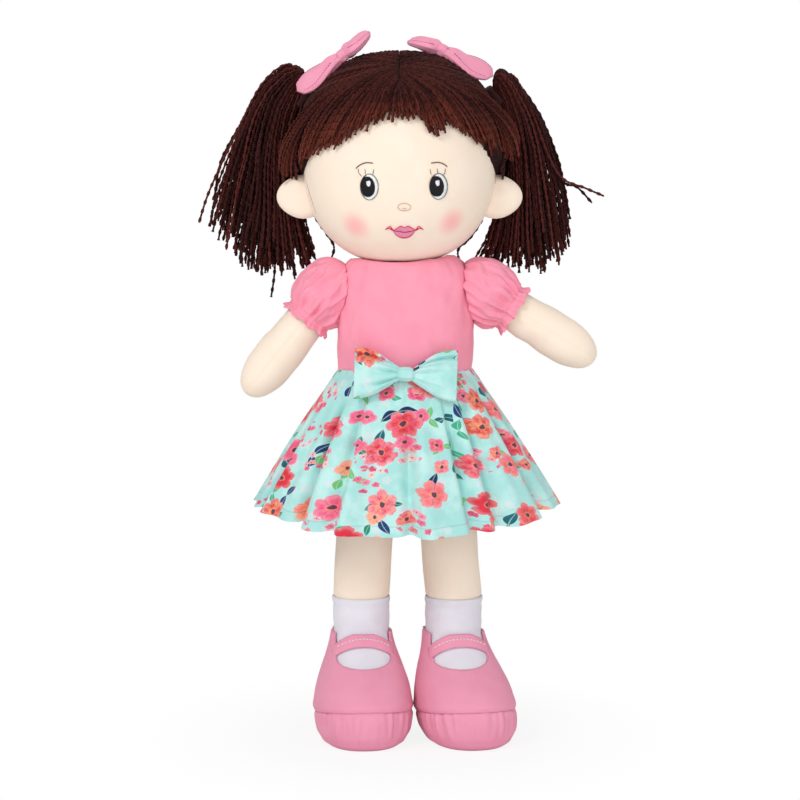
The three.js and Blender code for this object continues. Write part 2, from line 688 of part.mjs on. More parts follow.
function skirtRing(share, inset) {
  const [halfWidth, halfDepth] = skirtHalfSizes(THREE.MathUtils.clamp(share, 0, 1));
  const height = lerp(WAIST_HEIGHT - GAP, HEM_HEIGHT, share);
  const fullness = smoothstep(share, foldStartShare, 1) * THREE.MathUtils.clamp(share / gatherShare, 0, 1);
  return (angle) => {
    let fold = 0;
    for (const [waves, strength, shift] of foldShares) {
      fold += strength * Math.cos(waves * angle + shift * 2 * Math.PI);
    }
    const fromFront = Math.abs(angle + Math.PI / 2) / degToRad(PLEAT_HALF_ANGLE_DEG);
    const pleat = PLEAT_DEPTH * smoothstep(1 - fromFront, 0, 1);
    const out = (FOLD_DEPTH * fold - pleat) * fullness - inset;
    const [across, deep] = [Math.cos(angle), Math.sin(angle)].map((part) => bulge(part, BODY_FULLNESS_SHARE));
    const rise = HEM_SIDE_RISE * share * Math.cos(angle) ** 2;
    return vector((halfWidth + out) * across, (halfDepth + out) * deep, height + rise);
  };
}

function skirtForm(inset, past) {
  const rings = [];
  for (let row = skirtRows; row >= 0; row--) rings.push(skirtRing(row / skirtRows, inset));
  if (past) {
    rings.unshift(skirtRing(1 + past, inset));
    rings.push(skirtRing(-past, inset));
  }
  const height = (share) => lerp(WAIST_HEIGHT - GAP, HEM_HEIGHT, share);
  const ends = [closedTo(vector(0, 0, height(1 + past))), closedTo(vector(0, 0, height(-past)))];
  return skinned([ends[0], ...rings, ends[1]], skirtSides);
}
addPiece(doll, "skirt", skirtForm(0, 0).subtract(skirtForm(CLOTH, 0.1)), printedCotton);

// The bow at the waist leans with the skirt's front

// How far forward the skirt reaches at a height, over the facets behind the knot
function skirtFront(height) {
  const row = ((WAIST_HEIGHT - GAP - height) / (WAIST_HEIGHT - GAP - HEM_HEIGHT)) * skirtRows;
  const reaches = [-1, 0, 1].map((side) => {
    const angle = ((4 * side) / skirtSides - 1) * (Math.PI / 2);
    const [above, below] = [0, 1].map((step) => skirtRing((Math.floor(row) + step) / skirtRows, 0)(angle));
    return lerp(above.y, below.y, row % 1);
  });
  return Math.min(...reaches);
}

function bowPlace() {
  const lean = degToRad(WAIST_BOW_LEAN_DEG);
  const back = KNOT_HALF_DEPTH * Math.cos(lean) - KNOT_HALF_HEIGHT * Math.sin(lean);
  return vector(0, skirtFront(waistBowHeight - KNOT_HALF_HEIGHT) - GAP - back, waistBowHeight);
}
const waistBow = addGroup(doll, bowPlace());
waistBow.rotation.x = -degToRad(WAIST_BOW_LEAN_DEG);

// Rows of the share of a loop's length, of its half height and of its half thickness
const loopShares = [
  [0, 0, 0.5],
  [0.2, 0.3, 0.75],
  [0.5, 0.72, 1],
  [0.82, 0.97, 0.9],
  [1, 1, 0.45],
];

function waistLoop(sign) {
  const start = KNOT_HALF_WIDTH + GAP;
  const rings = loopShares.map(([share, height, thickness]) => {
    const x = sign * lerp(start, WAIST_BOW_HALF_LENGTH, share);
    const halfHeight = lerp(WAIST_BOW_NECK, WAIST_BOW_HALF_HEIGHT, height);
    const halfThickness = WAIST_BOW_HALF_THICKNESS * thickness;
    const up = vector(0, 0, sign * halfHeight);
    return ring(vector(x, 0, 0), vector(0, halfThickness, 0), up, loopFullnessShare);
  });
  const ends = [start, WAIST_BOW_HALF_LENGTH].map((x) => closedTo(vector(sign * x, 0, 0)));
  return skinned([ends[0], ...rings, ends[1]], bowSides);
}

// Rows of the share of the knot's half width and of its other sizes
const knotShares = [
  [-1, 0.82],
  [-0.6, 1],
  [0.6, 1],
  [1, 0.82],
];

function waistKnot() {
  const rings = knotShares.map(([along, size]) =>
    ring(
      vector(KNOT_HALF_WIDTH * along, 0, 0),
      vector(0, KNOT_HALF_DEPTH * size, 0),
      vector(0, 0, KNOT_HALF_HEIGHT * size),
      knotFullnessShare,
    ),
  );
  const [start, end] = [-1, 1].map((along) => closedTo(vector(KNOT_HALF_WIDTH * along, 0, 0)));
  return skinned([start, ...rings, end], bowSides);
}
addPiece(waistBow, "waist_bow_knot", waistKnot(), printedCotton);

// Hair bows, one on each side of the parting

// Each bow's place, its slope and yaw, and how its inner wing bends
const hairBowPlaces = [
  {
    name: "right",
    sign: -1,
    acrossShare: 0.53,
    forward: RIGHT_BOW_FORWARD,
    pad: RIGHT_BOW_PAD,
    slope: 38,
    yaw: 0,
    bend: { back: RIGHT_BOW_BACK, up: RIGHT_BOW_UP },
  },
  {
    name: "left",
    sign: 1,
    acrossShare: 0.4,
    forward: LEFT_BOW_FORWARD,
    pad: 0,
    slope: 27,
    yaw: 4,
    bend: { back: LEFT_BOW_BACK, up: -LEFT_BOW_DOWN },
  },
];

// Arms and sleeves, each in a group at its shoulder with Z along the arm

function armRadius(length) {
  return lerp(UPPER_ARM_RADIUS, ARM_RADIUS, smoothstep(length / ARM_LENGTH, ...upperArmShares));
}

function armForm(inset, from, wedgeRows, capRows, sideCount) {
  const place = (length) => vector(0, 0, length);
  const armRing = (length, round) => {
    const filled = smoothstep(length, 0, ARM_WEDGE);
    const radius = armRadius(length);
    const halfThickness = lerp(SEAM_ROLL, radius, filled) - inset;
    const halfBreadth = lerp(ARM_SEAM_HALF_WIDTH, radius, filled) - inset;
    return ring(place(length), vector(halfThickness * round, 0, 0), vector(0, halfBreadth * round, 0));
  };
  const rings = [];
  if (from === 0) {
    const nose = SEAM_ROLL * seamNoseShare;
    const halfWidth = ARM_SEAM_HALF_WIDTH * seamNoseWidthShare;
    rings.push(closedTo(place(-nose)));
    rings.push(ring(place(-nose), vector(nose, 0, 0), vector(0, halfWidth, 0)));
  } else {
    rings.push(closedTo(place(from)));
  }
  for (let row = 0; row <= wedgeRows; row++) rings.push(armRing(lerp(from, ARM_WEDGE, row / wedgeRows), 1));
  const capStart = ARM_LENGTH - HAND_TAPER;
  foreArmShares.forEach((share) => rings.push(armRing(lerp(ARM_WEDGE, capStart, share), 1)));
  const capLength = HAND_TAPER - inset;
  for (let row = 1; row < capRows; row++) {
    const angle = (row / capRows) * (Math.PI / 2);
    const along = bulge(Math.sin(angle), HAND_FULLNESS_SHARE) * capLength;
    rings.push(armRing(capStart + along, bulge(Math.cos(angle), HAND_FULLNESS_SHARE)));
  }
  rings.push(closedTo(place(capStart + capLength)));
  return skinned(rings, sideCount);
}

// Where the elastic holds the sleeve
const elasticInside = armRadius(SLEEVE_LENGTH) + GAP;
const cuffRadius = elasticInside + ELASTIC_THICKNESS + GAP + CLOTH;

// The puff, over the shoulder and then down to the elastic: rows of the share of its way and of its radius
const capShares = [
  [-1, 0],
  [-0.9, 0.42],
  [-0.65, 0.73],
  [-0.3, 0.92],
];
const puffShares = [
  [0.04, 0.985],
  [0.3, 1],
  [0.55, 0.97],
  [0.78, 0.87],
];

function sleeveForm(inset, past) {
  const row = (length, radius) => ring(vector(0, 0, length), vector(radius, 0, 0), vector(0, radius, 0));
  const rings = capShares.map(([along, radius]) => {
    const height = (SLEEVE_CAP - inset) * along;
    return radius ? row(height, SLEEVE_RADIUS * radius - inset) : closedTo(vector(0, 0, height));
  });
  for (const [along, radius] of puffShares) {
    rings.push(row(SLEEVE_LENGTH * along, SLEEVE_RADIUS * radius - inset));
  }
  rings.push(row(SLEEVE_LENGTH - ELASTIC_WIDTH / 2, cuffRadius - inset));
  rings.push(row(SLEEVE_LENGTH + ELASTIC_WIDTH / 2, cuffRadius - inset));
  const end = SLEEVE_LENGTH + RUFFLE_LENGTH + past;
  rings.push(row(end, cuffRadius + RUFFLE_FLARE - inset));
  rings.push(closedTo(vector(0, 0, end)));
  return skinned(rings, sleeveSides);
}

function sleeveElastic() {
  const [low, high] = [-1, 1].map((sign) => SLEEVE_LENGTH + (sign * (ELASTIC_WIDTH - GAP)) / 2);
  const outside = elasticInside + ELASTIC_THICKNESS;
  return upright(outside, low, high, sleeveSides).subtract(
    upright(elasticInside, low - OVERRUN, high + OVERRUN, sleeveSides),
  );
}

function seamTab() {
  const end = SHOULDER_ACROSS - SEAM_ROLL - GAP;
  const discRadius = SEAM_TAB_RADIUS * tabDiscShare;
  const [width] = readShares(
    bodyShares,
    (SHOULDER_HEIGHT - discRadius - bodyBottom) / (SHOULDER_TOP_HEIGHT - bodyBottom),
  );
  const side = BODY_HALF_WIDTH * width + yoke + GAP;
  const stem = upright(SEAM_TAB_RADIUS, end - SEAM_TAB_LENGTH, end, armFillingSides);
  const disc = upright(discRadius, side, end, armFillingSides);
  return stem.add(disc).rotate([0, 90, 0]).translate([-SHOULDER_ACROSS, 0, 0]);
}

const bodiceClear = bodyForm(yoke + GAP, cavityShare, bodySides);

function addArm(side) {
  const shoulder = addGroup(doll, vector(side.sign * SHOULDER_ACROSS, 0, SHOULDER_HEIGHT));
  const tab = side.sign > 0 ? seamTab() : seamTab().mirror([1, 0, 0]);
  addPiece(shoulder, `shoulder_seam_${side.name}`, tab, skinKnit);
  const arm = addGroup(shoulder, vector(0, 0, 0));
  arm.rotation.y = side.sign * (Math.PI / 2 + degToRad(side.armDrop));
  arm.updateWorldMatrix(true, false);
  const slit = box(
    OVERRUN / 2,
    FILLING_SLIT_WIDTH / 2,
    FILLING_SLIT_LENGTH / 2,
    vector((side.sign * OVERRUN) / 2, 0, ARM_WEDGE * slitPlaceShare),
  );
  const cavityStart = ARM_WEDGE * cavityStartShare;
  const cavity = armForm(SKIN, cavityStart, 3, 3, armFillingSides);
  const skin = armForm(0, 0, 4, 4, armSides).subtract(cavity).subtract(slit);
  addPiece(arm, `arm_skin_${side.name}`, skin, skinKnit);
  const filling = armForm(SKIN + GAP, cavityStart + GAP, 3, 3, armFillingSides);
  addPiece(arm, `arm_stuffing_${side.name}`, filling, stuffing);
  const bodiceHere = moved(bodiceClear, arm.matrixWorld.clone().invert());
  const sleeve = sleeveForm(0, 0).subtract(sleeveForm(CLOTH, OVERRUN)).subtract(bodiceHere);
  addPiece(arm, `sleeve_${side.name}`, sleeve, pinkCloth);
  addPiece(arm, `sleeve_elastic_${side.name}`, sleeveElastic(), elastic);
}

// Legs, each in a group on the floor under its ankle, with the foot in a turned group

function legRing(height, inset, side) {
  const up = (height - SOCK_TOP_HEIGHT) / (HIP_HEIGHT - SOCK_TOP_HEIGHT);
  const x = -side.sign * (side.ankle - HIP_ACROSS) * Math.max(up, 0);
  const filled = smoothstep(HIP_HEIGHT - height, 0, LEG_WEDGE);
  const halfWidth = lerp(LEG_SEAM_HALF_WIDTH, LEG_RADIUS, filled) - inset;
  const halfDepth = lerp(SEAM_ROLL, LEG_RADIUS, filled) - inset;
  return ring(vector(x, 0, height), vector(halfWidth, 0, 0), vector(0, halfDepth, 0));
}

// The foot's outline: rows of the share of the shoe's height, half width, toe and heel
const footShares = [
  [0, 0.76, 0.84, 0.82],
  [0.03, 0.85, 0.91, 0.9],
  [0.13, 0.955, 0.98, 0.98],
  [0.28, 1, 1, 1],
  [0.42, 0.98, 0.965, 1],
  [0.54, 0.925, 0.87, 0.97],
  [0.66, 0.84, 0.71, 0.93],
  [0.78, 0.745, 0.54, 0.885],
  [0.89, 0.67, 0.41, 0.845],
  [1, 0.625, 0.335, 0.82],
];

function footRing(share, height, inset, turn, lean) {
  const [width, toe, heel] = readShares(footShares, share);
  const front = SHOE_TOE * toe - inset;
  const back = SHOE_HEEL * heel - inset;
  const outline = ring(
    vector(lean * (1 - share), (back - front) / 2, height),
    vector(SHOE_HALF_WIDTH * width - inset, 0, 0),
    vector(0, (back + front) / 2, 0),
    SHOE_FULLNESS_SHARE,
  );
  return (angle) => outline(angle).applyAxisAngle(vector(0, 0, 1), turn);
}

function footRings(inset, turn, side) {
  return footShares.map(([share]) =>
    footRing(share, Math.max(SHOE_HEIGHT * share, inset), inset, turn, side.footLean),
  );
}

const everyOther = (_, row) => row % 2 === 0 || row === footShares.length - 1;

// The sock's inset from the shoe's outside, and the same inset worked back to the leg's radius
const sockInset = SHOE_CLOTH + GAP;
const sockRing = (height, inset) => {
  const radius = LEG_RADIUS + sockInset - inset;
  return ring(vector(0, 0, height), vector(radius, 0, 0), vector(0, radius, 0));
};

function sockForm(inset, top, side, rowsKept) {
  const rings = footRings(inset, 0, side).filter(rowsKept);
  const ends = [closedTo(vector(0, 0, inset)), closedTo(vector(0, 0, top))];
  return skinned([ends[0], ...rings, sockRing(top, inset), ends[1]], legSides);
}

function prismAcross(outline, halfWidth) {
  const shape = new THREE.Shape(outline.map(([y, z]) => new THREE.Vector2(y, z)));
  const geometry = new THREE.ExtrudeGeometry(shape, { depth: 2 * halfWidth, bevelEnabled: false, steps: 1 });
  return solidOf(geometry.rotateX(Math.PI / 2).rotateZ(Math.PI / 2).translate(-halfWidth, 0, 0));
}

// Everything below the seam that runs round the shoe, from the toe down to the heel
function belowSeam(rise) {
  const toe = -SHOE_TOE - OVERRUN;
  const heel = SHOE_HEEL + OVERRUN;
  const slope = (HEEL_SEAM_HEIGHT - TOE_SEAM_HEIGHT) / (SHOE_HEEL + SHOE_TOE);
  const seam = (y) => [y, TOE_SEAM_HEIGHT + slope * (y + SHOE_TOE) + rise];
  return prismAcross([[toe, -OVERRUN], [heel, -OVERRUN], seam(heel), seam(toe)], SHOE_HALF_WIDTH + OVERRUN);
}

// Turns an upright cutter onto the instep
function onInstep(solid) {
  return solid
    .rotate([INSTEP_SLOPE_DEG, 0, 0])
    .translate([0, -STRAP_FRONT, STRAP_HEIGHT]);
}

function instepOpening(shrink) {
  const below = (OPENING_LENGTH - STRAP_WIDTH) / 2;
  return onInstep(
    upright(1, -OVERRUN, OVERRUN, armSides)
      .scale([OPENING_HALF_WIDTH - shrink, OPENING_LENGTH / 2 - shrink, 1])
      .translate([0, -below / 2, 0]),
  );
}

function addFoot(leg, side) {
  const foot = addGroup(leg, vector(0, 0, 0));
  foot.rotation.z = degToRad(side.footTurn);
  const aboveSole = (_, row) => row !== 1;
  const sockCavity = sockForm(sockInset + CLOTH, SOCK_TOP_HEIGHT + OVERRUN, side, everyOther);
  const sock = sockForm(sockInset, SOCK_TOP_HEIGHT, side, aboveSole).subtract(sockCavity);
  addPiece(foot, `sock_${side.name}`, sock, whiteKnit);
  const ends = [closedTo(vector(0, 0, 0)), closedTo(vector(0, 0, SHOE_HEIGHT))];
  const outside = skinned([ends[0], ...footRings(0, 0, side), ends[1]], legSides);
  const shell = outside.subtract(sockForm(SHOE_CLOTH, SHOE_HEIGHT + OVERRUN, side, aboveSole));
  const strapBand = onInstep(box(SHOE_HALF_WIDTH, STRAP_WIDTH / 2, OVERRUN, vector(0, 0, 0)));
  const upper = shell.subtract(belowSeam(0)).subtract(instepOpening(0));
  const strap = shell.intersect(instepOpening(GAP)).intersect(strapBand);
  addPiece(foot, `shoe_sole_${side.name}`, shell.intersect(belowSeam(-SEAM_OPENING)), pinkFelt);
  addPiece(foot, `shoe_upper_${side.name}`, upper, pinkFelt);
  addPiece(foot, `shoe_strap_${side.name}`, strap, pinkFelt);
}

// Where the leg's rings lie, of its length below the wedge and of the wedge's height below the hip
const calfShares = [0, 0.35, 0.65];
const wedgeShares = [1, 0.7, 0.44, 0.2, 0];

function addLeg(side) {
  const leg = addGroup(doll, vector(side.sign * side.ankle, 0, 0));
  const hipX = -side.sign * (side.ankle - HIP_ACROSS);
  const nose = SEAM_ROLL * seamNoseShare;
  const noseAcross = vector(LEG_SEAM_HALF_WIDTH * seamNoseWidthShare, 0, 0);
  const calf = calfShares.map((share) => lerp(SOCK_TOP_HEIGHT + GAP, HIP_HEIGHT - LEG_WEDGE, share));
  const wedge = wedgeShares.map((share) => HIP_HEIGHT - LEG_WEDGE * share);
  const skin = skinned(
    [
      closedTo(vector(0, 0, calf[0])),
      ...[...calf, ...wedge].map((height) => legRing(height, 0, side)),
      ring(vector(hipX, 0, HIP_HEIGHT + nose), noseAcross, vector(0, nose, 0)),
      closedTo(vector(hipX, 0, HIP_HEIGHT + nose)),
    ],
    legSides,
  );
  const top = HIP_HEIGHT - LEG_WEDGE * cavityStartShare;
  const inner = [...calf.slice(1), ...wedge].filter((height) => height < top - GAP);
  const topRing = (inset) => {
    const height = top - inset + SKIN;
    return [legRing(height, inset, side), closedTo(vector(hipX, 0, height))];
  };
  const cavity = skinned(
    [
      closedTo(vector(0, 0, SOCK_TOP_HEIGHT - OVERRUN)),
      legRing(SOCK_TOP_HEIGHT - OVERRUN, SKIN, side),
      legRing(SOCK_TOP_HEIGHT, SKIN, side),
      ...inner.map((height) => legRing(height, SKIN, side)),
      ...topRing(SKIN),
    ],
    legSides,
  );
  addPiece(leg, `leg_skin_${side.name}`, skin.subtract(cavity), skinKnit);
  const footInset = sockInset + CLOTH + 2 * GAP;
  const turn = degToRad(side.footTurn);
  const legInset = SKIN + GAP;
  const filling = skinned(
    [
      closedTo(vector(0, 0, footInset)),
      ...footRings(footInset, turn, side).filter(everyOther),
      legRing(SOCK_TOP_HEIGHT, legInset, side),
      ...inner.map((height) => legRing(height, legInset, side)),
      ...topRing(legInset),
    ],
    legSides,
  );
  addPiece(leg, `leg_stuffing_${side.name}`, filling, stuffing);
  addFoot(leg, side);
}

// How far the tilted band reaches below its middle
function bandReach(tilt) {
  const [wide, thick] = bandHole.map((size) => size + HAIR_BOW_BAND_CLOTH);
  const power = bandFullnessShare / (bandFullnessShare - 1);
  return ((wide * Math.sin(tilt)) ** power + (thick * Math.cos(tilt)) ** power) ** (1 / power);
}

// The hair cap's height above the middle of the head, over a point on one of its facets
function capHeight(across, forward) {
  const beside = HAIR_SIDE_THICKNESS + GAP;
  const reach = Math.hypot(across / (HEAD_HALF_WIDTH + beside), forward / (HEAD_HALF_DEPTH + beside));
  const rows = headShares(headRows);
  const outer = rows.findLastIndex((row) => row[0] >= reach);
  const [below, above] = [rows[outer], rows[outer + 1]];
  const rise = lerp(below[1], above[1], (below[0] - reach) / (below[0] - above[0]));
  return (HEAD_HALF_HEIGHT + HAIR_THICKNESS + GAP) * rise;
}

for (const place of hairBowPlaces) {
  const across = HEAD_HALF_WIDTH * place.acrossShare;
  const slope = degToRad(place.slope);
  const stand = bandReach(degToRad(BAND_TILT_DEG)) + GAP + place.pad;
  const bowX = place.sign * (across + stand * Math.sin(slope));
  const bowZ = capHeight(across, place.forward) + stand * Math.cos(slope);
  const group = addGroup(head, vector(bowX, -place.forward, bowZ));
  group.rotation.set(0, place.sign * slope, -place.sign * degToRad(place.yaw), "YXZ");
  const bow = hairBow(place, place.bend);
  group.updateWorldMatrix(true, false);
  const hairHere = moved(hairClear, head.matrixWorld.clone().premultiply(group.matrixWorld.clone().invert()));
  addPiece(group, `hair_bow_${place.name}`, bow.subtract(hairHere), pinkFelt);
  addPiece(group, `hair_bow_band_${place.name}`, hairBowBand(bow), pinkFelt);
}

for (const side of sides) {
  addPiece(waistBow, `waist_bow_loop_${side.name}`, waistLoop(side.sign), printedCotton);
  addArm(side);
  addLeg(side);
}

export default doll;
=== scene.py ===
# %% [markdown]
# # A rag doll with yarn pigtails
# The doll is sewn from knitted fabric and stuffed. Its hair is thick twisted yarn, its clothes are
# cotton and its shoes are felt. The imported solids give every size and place, in metres, and each piece
# here is modelled over its own solid. The doll faces -Y, and its right side is at -X.

# %% Load the frame and keep the solid model's box
import math
import random
import bpy
import bmesh
from mathutils import Matrix, Vector, noise


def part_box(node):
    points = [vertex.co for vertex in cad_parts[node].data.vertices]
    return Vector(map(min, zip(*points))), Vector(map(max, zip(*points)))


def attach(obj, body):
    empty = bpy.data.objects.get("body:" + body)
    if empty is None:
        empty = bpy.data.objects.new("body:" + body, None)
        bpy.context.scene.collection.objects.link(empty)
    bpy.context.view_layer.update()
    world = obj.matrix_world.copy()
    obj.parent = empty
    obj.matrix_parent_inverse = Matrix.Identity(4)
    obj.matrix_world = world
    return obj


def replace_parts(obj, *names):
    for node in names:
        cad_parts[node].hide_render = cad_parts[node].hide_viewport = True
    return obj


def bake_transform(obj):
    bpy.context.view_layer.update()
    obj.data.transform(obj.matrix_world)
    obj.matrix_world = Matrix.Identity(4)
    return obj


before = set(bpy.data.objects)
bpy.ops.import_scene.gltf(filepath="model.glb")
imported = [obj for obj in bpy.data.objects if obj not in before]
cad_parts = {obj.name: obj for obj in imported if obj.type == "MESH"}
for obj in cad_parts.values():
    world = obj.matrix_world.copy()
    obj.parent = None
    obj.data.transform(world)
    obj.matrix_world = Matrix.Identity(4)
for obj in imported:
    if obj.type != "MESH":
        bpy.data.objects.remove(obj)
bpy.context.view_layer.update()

MM = 0.001
SIDES = {"right": -1, "left": 1}

# %% [markdown]
# ## The camera
# The photograph looks at the doll from about 1.3 m away and a little above its middle. The camera comes
# first, because the frame's width then gives the size of every later detail on the picture.

# %% Camera
CAMERA_PLACE = Vector((-0.0035, -1.3, 0.33))
AIM = Vector((-0.0035, 0, 0.2165))
# How wide the view is at the aim, in metres, how wide the picture is, in pixels, and the sensor in mm
VIEW_WIDTH, PICTURE, SENSOR = 0.512, 800, 36


def make_camera():
    data = bpy.data.cameras.new("camera")
    camera = bpy.data.objects.new("camera", data)
    bpy.context.collection.objects.link(camera)
    look = AIM - CAMERA_PLACE
    camera.location = CAMERA_PLACE
    camera.rotation_euler = look.to_track_quat("-Z", "Y").to_euler()
    data.sensor_width = SENSOR
    data.lens = SENSOR * look.length / VIEW_WIDTH
    bpy.context.scene.camera = camera
    return look.length


print("camera distance", round(make_camera(), 3))

# %% [markdown]
# ## Making pieces
# A sewn and stuffed form is a tube whose rings change along its way. It can be made by extruding one ring
# again and again, but then its cloth has no length and breadth to lay a weave on. Here a flat grid, which
# is the cloth, is bent round into the tube. Its two side edges are welded as the seam, and its grid
# coordinates are kept as a UV map in metres.

# %% Helpers for bent grids
def smoothstep(value, low, high):
    share = min(max((value - low) / (high - low), 0), 1)
    return share * share * (3 - 2 * share)


def lerp(low, high, share):
    return low + (high - low) * share


def bulge(value, power):
    """A sine or cosine made fuller, so that the ring it draws has that power instead of 2."""
    return math.copysign(abs(value) ** (2 / power), value)


def ridge(away, width):
    """A round ridge: 1 in its middle, where away is zero, and nearly nothing past two widths."""
    return math.exp(-((away / width) ** 2))


def read_shares(table, share):
    """Reads a table whose rows start with a share, in straight steps between its rows."""
    for before, after in zip(table, table[1:]):
        if share <= after[0]:
            break
    step = min(max((share - before[0]) / (after[0] - before[0]), 0), 1)
    return [lerp(low, high, step) for low, high in zip(before[1:], after[1:])]


def read_smooth(table, share):
    """Reads the same kind of table with round steps, as a curve through its rows."""
    count = len(table) - 1
    spot = next((i for i in range(count) if share <= table[i + 1][0]), count - 1)
    rows = [table[min(max(spot + k, 0), count)] for k in (-1, 0, 1, 2)]
    step = min(max((share - rows[1][0]) / (rows[2][0] - rows[1][0]), 0), 1)
    values = []
    for a, b, c, d in zip(*[row[1:] for row in rows]):
        bend = (c - a) * step + (2 * a - 5 * b + 4 * c - d) * step**2 + (3 * b - a - 3 * c + d) * step**3
        values.append(b + bend / 2)
    return values


def finish_piece(name, bm, body, material):
    """Turns a bmesh into a piece that rides on a body and takes the material it is given."""
    mesh = bpy.data.meshes.new(name)
    bm.to_mesh(mesh)
    bm.free()
    mesh.shade_smooth()
    mesh.materials.append(material)
    return place_piece(name, mesh, body)


def place_piece(name, mesh, body):
    piece = bpy.data.objects.new(name, mesh)
    bpy.context.collection.objects.link(piece)
    if body:
        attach(piece, body)
    return piece


def add_wall(piece, thickness):
    """Gives an open sheet its thickness in mm, inwards from the side that shows."""
    wall = piece.modifiers.new("wall", "SOLIDIFY")
    wall.thickness, wall.offset = thickness * MM, -1


def size_of(piece):
    return [round(side, 1) for side in piece.dimensions / MM]


def bent_grid(columns, rows, place, cloth, weld=True):
    """A grid whose points go to place(u, v), given in mm, with a UV map of that much cloth in metres."""
    bm = bmesh.new()
    uv = bm.loops.layers.uv.new("cloth")
    bmesh.ops.create_grid(bm, x_segments=columns, y_segments=rows, size=1, calc_uvs=True)
    for face in bm.faces:
        for loop in face.loops:
            u, v = (loop.vert.co.x + 1) / 2, (loop.vert.co.y + 1) / 2
            loop[uv].uv = (u * cloth[0], v * cloth[1])
    for vert in bm.verts:
        vert.co = place((vert.co.x + 1) / 2, (vert.co.y + 1) / 2) * MM
    if weld:
        bmesh.ops.remove_doubles(bm, verts=bm.verts, dist=1e-6)
    return bm


def face_outwards(bm, outside=lambda bm: bm.calc_volume(signed=True)):
    """Turns all faces the same way, and outwards: outside gives a number that is then above zero."""
    bmesh.ops.recalc_face_normals(bm, faces=bm.faces)
    if outside(bm) < 0:
        bmesh.ops.reverse_faces(bm, faces=bm.faces)
    return bm


def change_cloth(bm, change):
    """Moves the corners of the faces to other places on the flat cloth."""
    uv = bm.loops.layers.uv["cloth"]
    for face in bm.faces:
        for loop in face.loops:
            loop[uv].uv = change(loop[uv].uv)


def ring_point(angle, half_width, half_depth, power=2):
    return Vector((half_width * bulge(math.cos(angle), power), half_depth * bulge(math.sin(angle), power), 0))


# %% [markdown]
# ## Finishes
# Each fabric is a shader node group or two placed in a material of its own. The groups only put out
# heights and masks, so the same knit can serve the skin and the socks at two scales. The small helper
# below keeps the node code short: it adds a node, sets its values and wires its inputs.

# %% Helpers for nodes
def add_node(tree, kind, inputs=None, **settings):
    made = tree.nodes.new("ShaderNode" + kind)
    for key, value in settings.items():
        setattr(made, key, value)
    for key, value in (inputs or {}).items():
        if isinstance(value, bpy.types.NodeSocket):
            tree.links.new(value, made.inputs[key])
        else:
            made.inputs[key].default_value = value
    return made


def math_node(tree, operation, first, second=0.0, third=0.0):
    return add_node(tree, "Math", {0: first, 1: second, 2: third}, operation=operation).outputs[0]


def times(tree, first, second):
    return math_node(tree, "MULTIPLY", first, second)


def vector_node(tree, operation, inputs, output=0):
    return add_node(tree, "VectorMath", inputs, operation=operation).outputs[output]


def mix_colour(tree, share, first, second):
    return add_node(tree, "Mix", {0: share, 6: first, 7: second}, data_type="RGBA").outputs[2]


def ramp(tree, value, low, high, to_low=0.0, to_high=1.0):
    """A smooth step: to_low up to the low value, to_high from the high one."""
    inputs = {0: value, 1: low, 2: high, 3: to_low, 4: to_high}
    return add_node(tree, "MapRange", inputs, interpolation_type="SMOOTHSTEP").outputs[0]


def object_place(tree):
    return add_node(tree, "TexCoord").outputs["Object"]


def add_bump(tree, shader, strength, distance, height):
    bump = add_node(tree, "Bump", {"Strength": strength, "Distance": distance, "Height": height})
    tree.links.new(bump.outputs[0], shader.inputs["Normal"])


def srgb(red, green, blue):
    """A colour as it is read off a screen, from 0 to 255, in the linear values that Blender takes."""
    parts = [value / 255 for value in (red, green, blue)]
    return (*[part / 12.92 if part <= 0.04045 else ((part + 0.055) / 1.055) ** 2.4 for part in parts], 1)


def new_group(name, inputs, outputs):
    group = bpy.data.node_groups.new(name, "ShaderNodeTree")
    for title, kind, value in inputs:
        socket = group.interface.new_socket(title, in_out="INPUT", socket_type="NodeSocket" + kind)
        if value is not None:
            socket.default_value = value
    for title, kind in outputs:
        group.interface.new_socket(title, in_out="OUTPUT", socket_type="NodeSocket" + kind)
    return group, group.nodes.new("NodeGroupInput"), group.nodes.new("NodeGroupOutput")


def place_group(tree, group, inputs):
    return add_node(tree, "Group", inputs, node_tree=group)


def new_material(name, roughness=0.9, sheen=0.3, specular=0.2):
    material = bpy.data.materials.new(name)
    material.use_nodes = True
    tree = material.node_tree
    shader = tree.nodes["Principled BSDF"]
    titles = ("Roughness", "Sheen Weight", "Sheen Roughness", "Specular IOR Level")
    for title, value in zip(titles, (roughness, sheen, 0.5, specular)):
        shader.inputs[title].default_value = value
    return material, tree, shader


# %% Node groups for weave, knit, nap and dye
def wire_out(group, end, values):
    for value, socket in zip(values, end.inputs):
        group.links.new(value, socket)


def scaled_parts(group, start):
    """A group's vector times its scale, taken apart into X, Y and Z."""
    scaled = vector_node(group, "SCALE", {0: start.outputs[0], 3: start.outputs[1]})
    return add_node(group, "SeparateXYZ", {0: scaled}).outputs


def make_weave():
    """Plain weave on a UV map in metres: threads pass over and under each other."""
    group, start, end = new_group(
        "weave", [("Vector", "Vector", None), ("Threads per metre", "Float", 2600.0)], [("Height", "Float")])
    parts = scaled_parts(group, start)
    across, along = (math_node(group, "SINE", times(group, parts[axis], math.pi)) for axis in (0, 1))
    wire_out(group, end, [math_node(group, "MULTIPLY_ADD", times(group, across, along), 0.5, 0.5)])
    return group


